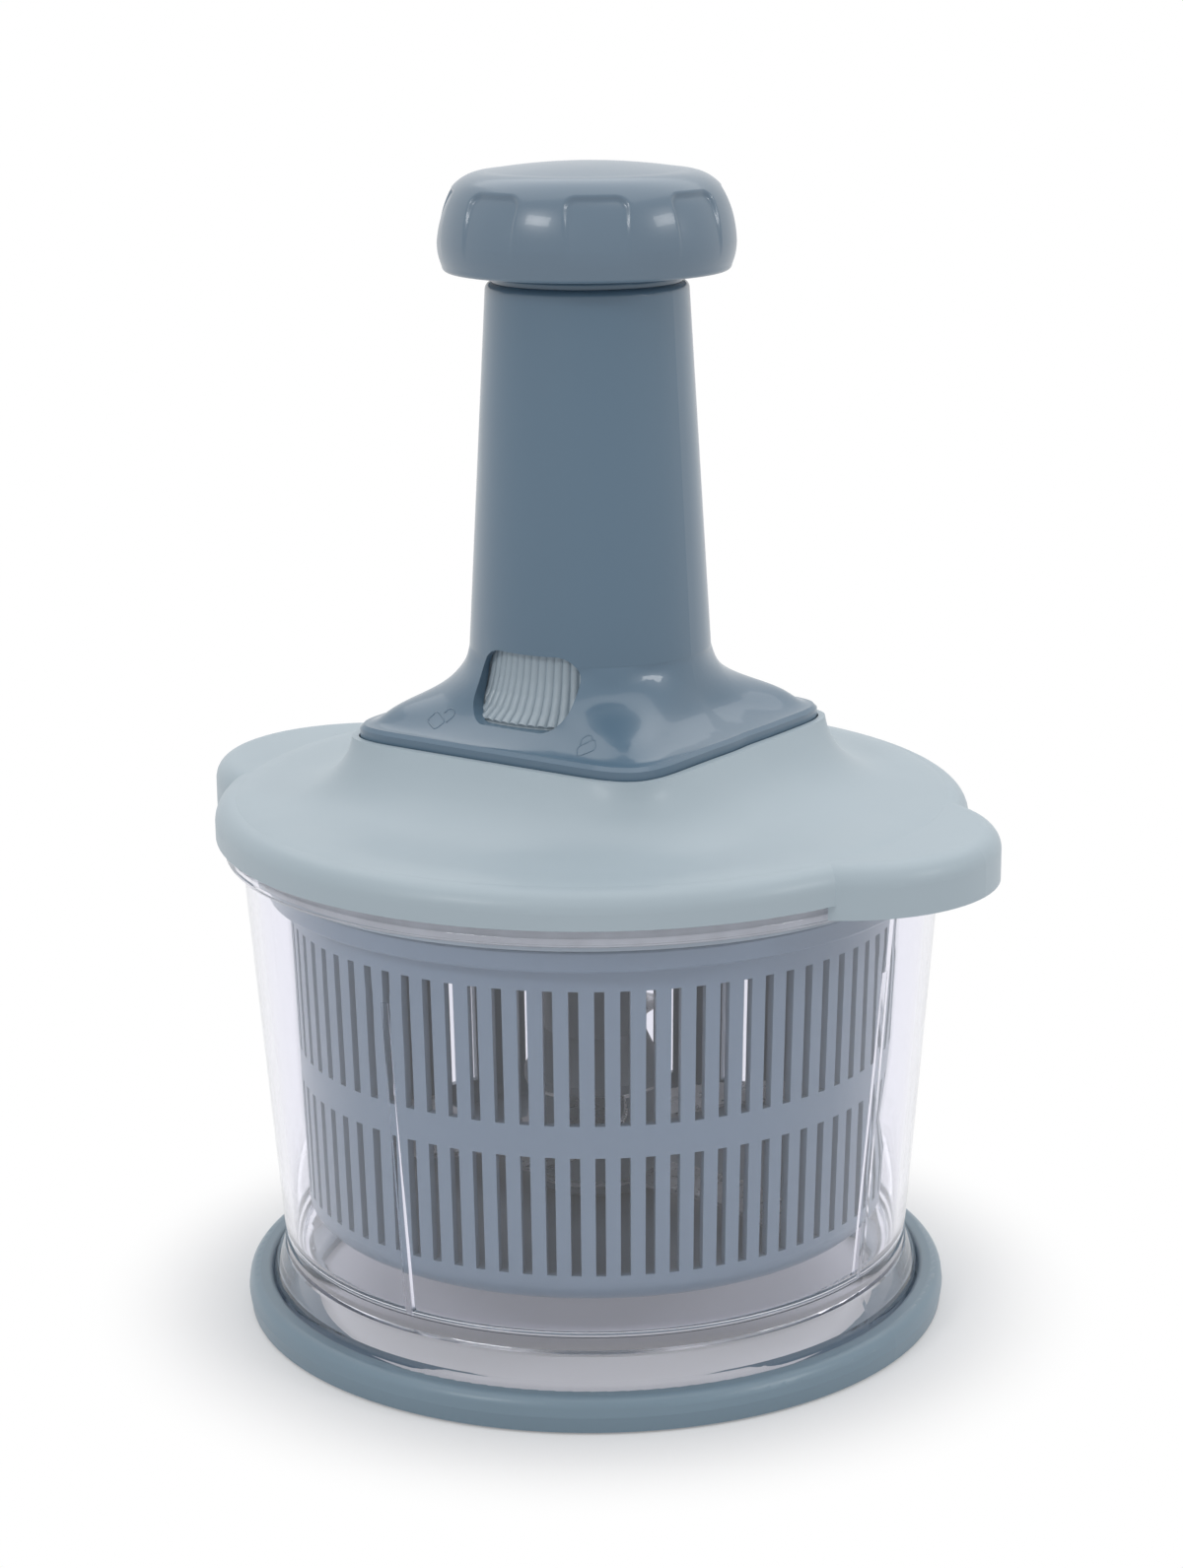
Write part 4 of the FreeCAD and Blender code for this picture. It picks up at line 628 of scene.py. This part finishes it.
class CHOPPER_OT_cap(bpy.types.Operator):
    """Make the push cap with the shallow scoops round its shoulder"""
    bl_idname = "chopper.cap"
    bl_label = "Scooped cap"

    AROUND = 640
    # the outside from the middle of the top down: distances from the axis and below the top
    CROWN_ARC = (13.0 * MM, 0.525 * MM)
    CROWN = (26.0 * MM, 2.1 * MM)
    SHOULDER_ARC = (32.66 * MM, 4.48 * MM)
    SHOULDER = (36.4 * MM, 9.3 * MM)
    SIDE_ARC = (37.99 * MM, 14.55 * MM)
    SIDE_DROP = 19.8 * MM
    HEM_ARC = (38.06 * MM, 23.1 * MM)
    HEM_RADIUS = 37.2 * MM
    HEM_ROUND = 1.5 * MM
    HEM_ROUND_MIDDLE = 0.44 * MM
    # the inside
    MOUTH_BEVEL = 0.4 * MM
    BOSS_WALL = 2.8 * MM
    TUBE_GAP = 0.1 * MM
    # scoops are pressed in towards the axis, at a point this far below them
    PRESS_DROP = 16.2 * MM

    def outside(self, top, bottom, widest):
        """Outline of the cap's outside, from the middle of its top to its lower edge."""
        def below_top(place):
            return (place[0], top - place[1])
        crown, shoulder = below_top(self.CROWN), below_top(self.SHOULDER)
        side = (widest, top - self.SIDE_DROP)
        hem = (self.HEM_RADIUS, bottom + self.HEM_ROUND)
        outline = [(ON_AXIS, top)]
        outline += arc_through((0.0, top), below_top(self.CROWN_ARC), crown, 26)
        outline += arc_through(crown, below_top(self.SHOULDER_ARC), shoulder, 34)
        outline += arc_through(shoulder, below_top(self.SIDE_ARC), side, 16)
        outline += arc_through(side, below_top(self.HEM_ARC), hem, 12)
        return outline

    def inside(self, hem, top, bottom, wall):
        """Outline of the cap's lower edge, its hollow and the boss round the plunger tube."""
        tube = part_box("plunger_tube")[1]
        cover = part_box("cap_cover")[1]
        middle = (hem[0] - self.HEM_ROUND_MIDDLE, bottom + self.HEM_ROUND_MIDDLE)
        outline = arc_through(hem, middle, (hem[0] - self.HEM_ROUND, bottom), 5)
        inner = hem[0] - wall
        ceiling = top - 2.2 * wall
        bore = tube.x + self.TUBE_GAP
        outline += [(inner + self.MOUTH_BEVEL, bottom), (inner, bottom + self.MOUTH_BEVEL)]
        outline += [(inner, ceiling - 9.0 * MM), (inner - 3.0 * MM, ceiling - 3.0 * MM),
                    (inner - 10.0 * MM, ceiling), (tube.x + self.BOSS_WALL, ceiling)]
        outline += [(tube.x + self.BOSS_WALL, cover.z), (bore, cover.z), (bore, tube.z),
                    (ON_AXIS, tube.z)]
        return outline

    def execute(self, context):
        cap = context.scene.chopper_cap
        low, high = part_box("press_cap")
        outline = self.outside(high.z, low.z, high.x)
        outer_rows = len(outline)
        outline += self.inside(outline[-1], high.z, low.z, cap.wall)
        pitch = 2.0 * math.pi / max(1, cap.scoops)
        passed = run_along(outline[:outer_rows])
        start = next(run for run, (radius, _) in zip(passed, outline) if radius >= cap.inner_edge)

        def push(index, angle, point):
            if index >= outer_rows or cap.scoops == 0:
                return point
            away = abs((angle - cap.first + pitch / 2.0) % pitch - pitch / 2.0)
            across = math.hypot(point.x, point.y) * away
            down = passed[index] - start
            depth = cap.depth * scoop_share(cap, across, down)
            inward = Vector((-point.x, -point.y, -self.PRESS_DROP)).normalized()
            return point + inward * depth

        thing = lathe("cap_shell", outline, self.AROUND, push)
        sharpen(thing, 40.0)
        dress(thing, "cap", "press", "press_cap")
        return {"FINISHED"}


def run_along(outline):
    """Length run along an outline up to each of its points."""
    passed = [0.0]
    for (radius, height), (next_radius, next_height) in zip(outline, outline[1:]):
        passed.append(passed[-1] + math.hypot(next_radius - radius, next_height - height))
    return passed


SCOOP_CORNER = 0.45             # radius of a scoop's corners as a share of its half width


def scoop_share(cap, across, down):
    """Share of a scoop's depth: an arch with round corners that runs out further down."""
    corner = cap.half_width * SCOOP_CORNER
    side = across - (cap.half_width - corner)
    over = corner - down
    if side > 0.0 and over > 0.0:
        outside = math.hypot(side, over) - corner
    else:
        outside = max(side, over) - corner
    flank = 1.0 - smooth_share(outside, -cap.flank, 0.0)
    return flank * min(1.0, max(0.0, 1.0 - down / cap.fade))


def smooth_share(value, start, end):
    """0 before the start, 1 after the end and a smooth step between them."""
    share = min(1.0, max(0.0, (value - start) / (end - start)))
    return share * share * (3.0 - 2.0 * share)


class CHOPPER_OT_slider(bpy.types.Operator):
    """Make the thumb face of the lock slider with its upright ribs"""
    bl_idname = "chopper.slider"
    bl_label = "Ribbed slider"

    AROUND = 48
    ROWS = 40
    MARGIN = 0.05 * MM          # kept clear at the CAD part's top and bottom

    def execute(self, context):
        slider = context.scene.chopper_slider
        low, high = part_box("lock_pad")
        shape = node_shape("lock_pad")
        first, last = pad_span(frame["nodes"]["lock_pad"].data)
        bottom = low.z + self.MARGIN
        reach = high.z - self.MARGIN - bottom
        profile = []
        for row in range(self.ROWS + 1):
            height = bottom + reach * row / self.ROWS
            profile.append((groove_radius(shape, first, last, height), height))
        slope = (profile[0][0] - profile[2][0]) / (profile[2][1] - profile[0][1])
        profile.insert(0, (profile[0][0] + slope * slider.skirt, profile[0][1] - slider.skirt))
        back = [(slider.back, height) for _, height in reversed(profile)]
        grip = sector("slider_grip", profile + back, first, last, self.AROUND)
        sharpen(grip, 50.0)
        dress(grip, "slider", "lock", "lock_pad")
        pitch = (last - first) / slider.ribs
        thick = profile[0][0] * pitch / 2.0
        core = [lathe_point(radius + slider.depth - thick, 0.0, height)
                for radius, height in profile[1:-1]]
        ribs = grown("slider_ribs", polylines("rib", [core]), round_copies(), {
            "Count": slider.ribs,
            "Step": pitch,
            "First": first + pitch / 2.0,
            "Radius": thick,
            "Finish": finish_for("slider"),
        })
        dress(ribs, "slider", "lock")
        return {"FINISHED"}


def sector(name, outline, first, last, around):
    """A closed outline of (radius, height) points, turned from one direction to another."""
    points = []
    for step in range(around + 1):
        angle = first + (last - first) * step / around
        points += [lathe_point(radius, angle, height) for radius, height in outline]
    count = len(outline)
    faces = [tuple(range(count)), tuple(around * count + index for index in reversed(range(count)))]
    for step in range(around):
        for index in range(count):
            after = (index + 1) % count
            low, high = step * count, (step + 1) * count
            faces.append((low + index, low + after, high + after, high + index))
    return mesh_object(name, points, faces)


def pad_span(mesh):
    """First and last direction of the slider's face, from the CAD part's outer points."""
    angles = [math.atan2(vertex.co.y, vertex.co.x) for vertex in mesh.vertices]
    return min(angles), max(angles)


LOOKS = 24                      # how often a surface is looked at along a line
OUTSIDE = 80.0 * MM             # a distance from the axis that is outside the slider


def groove_radius(shape, first, last, height):
    """Smallest radius of the slider's outer face at a height, looked at from outside."""
    smallest = OUTSIDE
    for step in range(LOOKS):
        angle = first + (last - first) * (step + 0.5) / LOOKS
        away = lathe_point(OUTSIDE, angle, height)
        hit, _, _, _ = shape.ray_cast(away, lathe_point(-1.0, angle, 0.0).normalized())
        if hit is not None:
            smallest = min(smallest, math.hypot(hit.x, hit.y))
    return smallest


class CHOPPER_OT_teeth(bpy.types.Operator):
    """Set fine teeth along the cutting edges of the blades"""
    bl_idname = "chopper.teeth"
    bl_label = "Blade teeth"

    HEIGHT_SHARE = 0.6          # height of a tooth as a share of the blade's

    def execute(self, context):
        teeth = context.scene.chopper_teeth
        lines = []
        for node in ("blade_upper", "blade_middle", "blade_lower"):
            lines += cutting_edges(node, teeth.start, teeth.end)
        low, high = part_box("blade_lower")
        thing = grown("blade_teeth", polylines("edges", lines), teeth_along(), {
            "Count": teeth.count,
            "Radius": teeth.radius,
            "Height": (high.z - low.z) * self.HEIGHT_SHARE,
            "Finish": finish_for("steel"),
        })
        dress(thing, "steel", "blades")
        return {"FINISHED"}


def cutting_edges(node, start, end):
    """Lines along the leading edge of each arm of a blade, between two shares of its reach."""
    shape = node_shape(node)
    low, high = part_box(node)
    tip = max((vertex.co for vertex in frame["nodes"][node].data.vertices),
              key=lambda point: point.xy.length)
    reach = tip.xy.length
    lines = []
    for side in (1.0, -1.0):
        out = Vector((tip.x, tip.y, 0.0)).normalized() * side
        across = Vector((-out.y, out.x, 0.0))
        line = []
        for step in range(LOOKS + 1):
            away = reach * (start + (end - start) * step / LOOKS)
            origin = out * away + across * reach + Vector((0.0, 0.0, (low.z + high.z) / 2.0))
            hit, _, _, _ = shape.ray_cast(origin, -across)
            if hit is not None:
                line.append(hit)
        lines.append(line)
    return lines


class CHOPPER_OT_marks(bpy.types.Operator):
    """Raise an open and a closed padlock beside the slider's window"""
    bl_idname = "chopper.marks"
    bl_label = "Padlock marks"

    def execute(self, context):
        marks = context.scene.chopper_marks
        shape = node_shape("column")
        places = (("mark_open", marks.open_angle, marks.open_distance, 1.0),
                  ("mark_closed", marks.closed_angle, marks.closed_distance, 0.0))
        for name, angle, distance, lift in places:
            lines = padlock_lines(marks.width, marks.height, lift)
            thing = raised_lines(name, lines, shape, distance, angle, marks.line)
            dress(thing, "column", "head")
        return {"FINISHED"}


# a padlock's forms as shares of its body's width or height
PADLOCK_CORNER = 0.2
SHACKLE_RADIUS = 0.32
SHACKLE_STRAIGHT = 0.7          # of the shackle's radius
OPEN_SHIFT = 0.3
OPEN_LIFT = 0.3


def padlock_lines(width, height, lift):
    """Outlines of a padlock's body and shackle; lift 1 pulls the shackle open."""
    half, corner = width / 2.0, width * PADLOCK_CORNER
    body = []
    for turn, (x, y) in enumerate(((half, height), (-half, height), (-half, 0.0), (half, 0.0))):
        toward = (-1.0 if x > 0 else 1.0, -1.0 if y > 0 else 1.0)
        centre = (x + toward[0] * corner, y + toward[1] * corner)
        for step in range(5):
            angle = math.radians(90.0 * turn + 90.0 * step / 4)
            body.append((centre[0] + corner * math.cos(angle), centre[1] + corner * math.sin(angle)))
    body.append(body[0])
    loop = width * SHACKLE_RADIUS
    shift = width * OPEN_SHIFT * lift
    foot = height + height * OPEN_LIFT * lift
    shackle = [(loop + shift, height)]
    for step in range(13):
        angle = math.pi * step / 12
        shackle.append((shift + loop * math.cos(angle), foot + loop * (SHACKLE_STRAIGHT + math.sin(angle))))
    shackle.append((-loop + shift, foot if lift else height))
    return [body, shackle]


RIDGE_SIDES = 8
RIDGE_HEIGHT = 0.35             # height of a ridge above its surface, as a share of its width
FLARE_LEVEL = 0.8               # level run of the flare for each length along it


def raised_lines(name, lines, shape, distance, angle, width):
    """Round ridges along lines that are laid on a surface, half sunk into it."""
    out = lathe_point(1.0, angle, 0.0)
    along = Vector((-math.sin(angle), math.cos(angle), 0.0))
    sides = RIDGE_SIDES
    points, faces = [], []
    for line in lines:
        laid = []
        for across, up in line:
            start = out * (distance - up * FLARE_LEVEL) + along * across
            start.z = cad_high.z
            hit, normal, _, _ = shape.ray_cast(start, Vector((0.0, 0.0, -1.0)))
            if hit is None:
                raise RuntimeError(f"{name}: the mark misses its surface")
            laid.append((hit, normal))
        closed = (laid[0][0] - laid[-1][0]).length < 0.01 * MM
        base = len(points)
        for index, (hit, normal) in enumerate(laid):
            before = laid[index - 1][0] if index else laid[0][0]
            after = laid[index + 1][0] if index + 1 < len(laid) else laid[-1][0]
            if closed and index in (0, len(laid) - 1):
                before, after = laid[-2][0], laid[1][0]
            forward = (after - before).normalized()
            side = forward.cross(normal).normalized()
            for step in range(sides):
                turn = 2.0 * math.pi * step / sides
                lift = normal * math.sin(turn) * width * RIDGE_HEIGHT
                points.append(hit + side * math.cos(turn) * width / 2.0 + lift)
        for index in range(len(laid) - 1):
            for step in range(sides):
                after = (step + 1) % sides
                low, high = base + index * sides, base + (index + 1) * sides
                faces.append((low + step, low + after, high + after, high + step))
        if not closed:
            faces.append(tuple(base + step for step in range(sides)))
            end = base + (len(laid) - 1) * sides
            faces.append(tuple(end + step for step in reversed(range(sides))))
    return mesh_object(name, points, faces)


class CHOPPER_OT_studio(bpy.types.Operator):
    """Set up the white floor, the soft lights and the camera"""
    bl_idname = "chopper.studio"
    bl_label = "Studio"

    def execute(self, context):
        studio = context.scene.chopper_studio
        make_floor()
        make_world(context.scene)
        make_lights(studio.azimuth)
        make_camera(context.scene, studio)
        context.scene.view_settings.view_transform = "Standard"
        return {"FINISHED"}


def seen_directly(tree):
    """1 for rays that show the background: camera, mirror and see-through rays."""
    path = tree.nodes.new("ShaderNodeLightPath")
    through = worked_out(tree, "MAXIMUM", path.outputs["Is Camera Ray"],
                         path.outputs["Is Transmission Ray"])
    return worked_out(tree, "MAXIMUM", through, path.outputs["Is Glossy Ray"])


# share of plain white in the floor, by distance from the object's middle in metres
FLOOR_STOPS = ((0.085, 0.2), (0.14, 1.0))


def white_with_distance(tree):
    """Share of plain white in the floor: part of it under the object, all of it further out."""
    place = tree.nodes.new("ShaderNodeTexCoord")
    away = tree.nodes.new("ShaderNodeVectorMath")
    away.operation = "LENGTH"
    tree.links.new(place.outputs["Object"], away.inputs[0])
    ramp = tree.nodes.new("ShaderNodeValToRGB")
    ramp.color_ramp.interpolation = "EASE"
    for stop, (position, share) in zip(ramp.color_ramp.elements, FLOOR_STOPS):
        stop.position = position
        stop.color = (share, share, share, 1.0)
    tree.links.new(away.outputs["Value"], ramp.inputs["Fac"])
    return ramp.outputs["Color"]


def make_floor():
    """A wide white floor that keeps the object's shadow and fades into the white backdrop."""
    half = 6.0
    corners = [(-half, -half, 0.0), (half, -half, 0.0), (half, half, 0.0), (-half, half, 0.0)]
    mesh = bpy.data.meshes.new("floor")
    mesh.from_pydata(corners, [], [(0, 1, 2, 3)])
    floor = placed("floor", mesh)
    material, tree, shader = new_material("floor_white")
    shader.inputs["Base Color"].default_value = (0.82, 0.82, 0.83, 1.0)
    shader.inputs["Roughness"].default_value = 0.9
    shader.inputs["Specular IOR Level"].default_value = 0.1
    glow = tree.nodes.new("ShaderNodeEmission")
    glow.inputs["Color"].default_value = BACKDROP
    glow.inputs["Strength"].default_value = 1.0
    share = worked_out(tree, "MULTIPLY", seen_directly(tree), white_with_distance(tree))
    surface = mixed(tree, share, shader.outputs["BSDF"], glow.outputs["Emission"])
    tree.links.new(surface, tree.nodes["Material Output"].inputs["Surface"])
    mesh.materials.append(material)


def make_world(scene):
    """Soft even light, with a white sky where it is seen directly."""
    world = bpy.data.worlds.new("studio")
    world.use_nodes = True
    tree = world.node_tree
    sky = tree.nodes["Background"]
    sky.inputs["Color"].default_value = (0.97, 0.98, 1.0, 1.0)
    sky.inputs["Strength"].default_value = 0.48
    white = tree.nodes.new("ShaderNodeBackground")
    white.inputs["Color"].default_value = BACKDROP
    white.inputs["Strength"].default_value = 1.0
    light = mixed(tree, seen_directly(tree), sky.outputs["Background"], white.outputs["Background"])
    tree.links.new(light, tree.nodes["World Output"].inputs["Surface"])
    scene.world = world


# name, degrees round from the camera, degrees up, distance and size in metres, watts
SOFT_BOXES = (
    ("key", -40.0, 31.0, 1.5, (0.46, 0.22), 3.8),
    ("fill", 66.0, 27.0, 1.5, (0.46, 0.22), 3.0),
    ("top", 170.0, 74.0, 1.6, (2.4, 2.4), 20.0),
)


def make_lights(camera_azimuth):
    """Rectangular lamps round the object that look at its middle."""
    middle = Vector((0.0, 0.0, (cad_low.z + cad_high.z) / 2.0))
    for name, around, up, distance, size, power in SOFT_BOXES:
        lamp = bpy.data.lights.new(name, "AREA")
        lamp.shape = "RECTANGLE"
        lamp.size, lamp.size_y = size
        lamp.energy = power
        azimuth, elevation = camera_azimuth + math.radians(around), math.radians(up)
        out = Vector((math.sin(azimuth) * math.cos(elevation),
                      -math.cos(azimuth) * math.cos(elevation), math.sin(elevation)))
        thing = placed(name, lamp)
        thing.location = middle + out * distance
        thing.rotation_euler = out.to_track_quat("Z", "Y").to_euler()


def make_camera(scene, studio):
    """The camera stands where its azimuth, reach and height say and looks at the axis."""
    data = bpy.data.cameras.new("camera")
    data.sensor_width = 36.0
    data.lens = data.sensor_width * studio.focal_pixels / PICTURE_LONG_SIDE
    data.clip_start, data.clip_end = 0.05, 50.0
    camera = placed("camera", data)
    out = Vector((math.sin(studio.azimuth), -math.cos(studio.azimuth), 0.0))
    camera.location = out * studio.reach + Vector((0.0, 0.0, studio.height))
    level = math.cos(studio.pitch)
    back = out * level + Vector((0.0, 0.0, math.sin(studio.pitch)))
    turn = back.to_track_quat("Z", "Y").to_matrix()
    roll = Matrix.Rotation(studio.roll, 3, "Z")
    camera.rotation_euler = (turn @ roll).to_euler()
    scene.camera = camera


class CHOPPER_PT_panel(bpy.types.Panel):
    """Buttons and settings of the chopper"""
    bl_idname = "CHOPPER_PT_panel"
    bl_label = "Chopper"
    bl_space_type = "VIEW_3D"
    bl_region_type = "UI"
    bl_category = "Chopper"

    def draw(self, context):
        column = self.layout.column()
        for operator in OPERATORS:
            column.operator(operator.bl_idname)
        for name in SETTINGS:
            box = self.layout.box()
            group = getattr(context.scene, name)
            for setting in group.__annotations__:
                box.prop(group, setting)


SETTINGS = {
    "chopper_colours": ChopperColours,
    "chopper_cap": ChopperCap,
    "chopper_slider": ChopperSlider,
    "chopper_teeth": ChopperTeeth,
    "chopper_marks": ChopperMarks,
    "chopper_studio": ChopperStudio,
}
OPERATORS = (
    CHOPPER_OT_finishes,
    CHOPPER_OT_cap,
    CHOPPER_OT_slider,
    CHOPPER_OT_teeth,
    CHOPPER_OT_marks,
    CHOPPER_OT_studio,
)


def register():
    for group in SETTINGS.values():
        bpy.utils.register_class(group)
    for operator in OPERATORS:
        bpy.utils.register_class(operator)
    bpy.utils.register_class(CHOPPER_PT_panel)
    for name, group in SETTINGS.items():
        setattr(bpy.types.Scene, name, bpy.props.PointerProperty(type=group))


def unregister():
    for name in SETTINGS:
        delattr(bpy.types.Scene, name)
    bpy.utils.unregister_class(CHOPPER_PT_panel)
    for operator in reversed(OPERATORS):
        bpy.utils.unregister_class(operator)
    for group in reversed(SETTINGS.values()):
        bpy.utils.unregister_class(group)


def main():
    register()
    bpy.ops.chopper.finishes()
    bpy.ops.chopper.cap()
    bpy.ops.chopper.slider()
    bpy.ops.chopper.teeth()
    bpy.ops.chopper.marks()
    bpy.ops.chopper.studio()


if __name__ == "__main__":
    main()
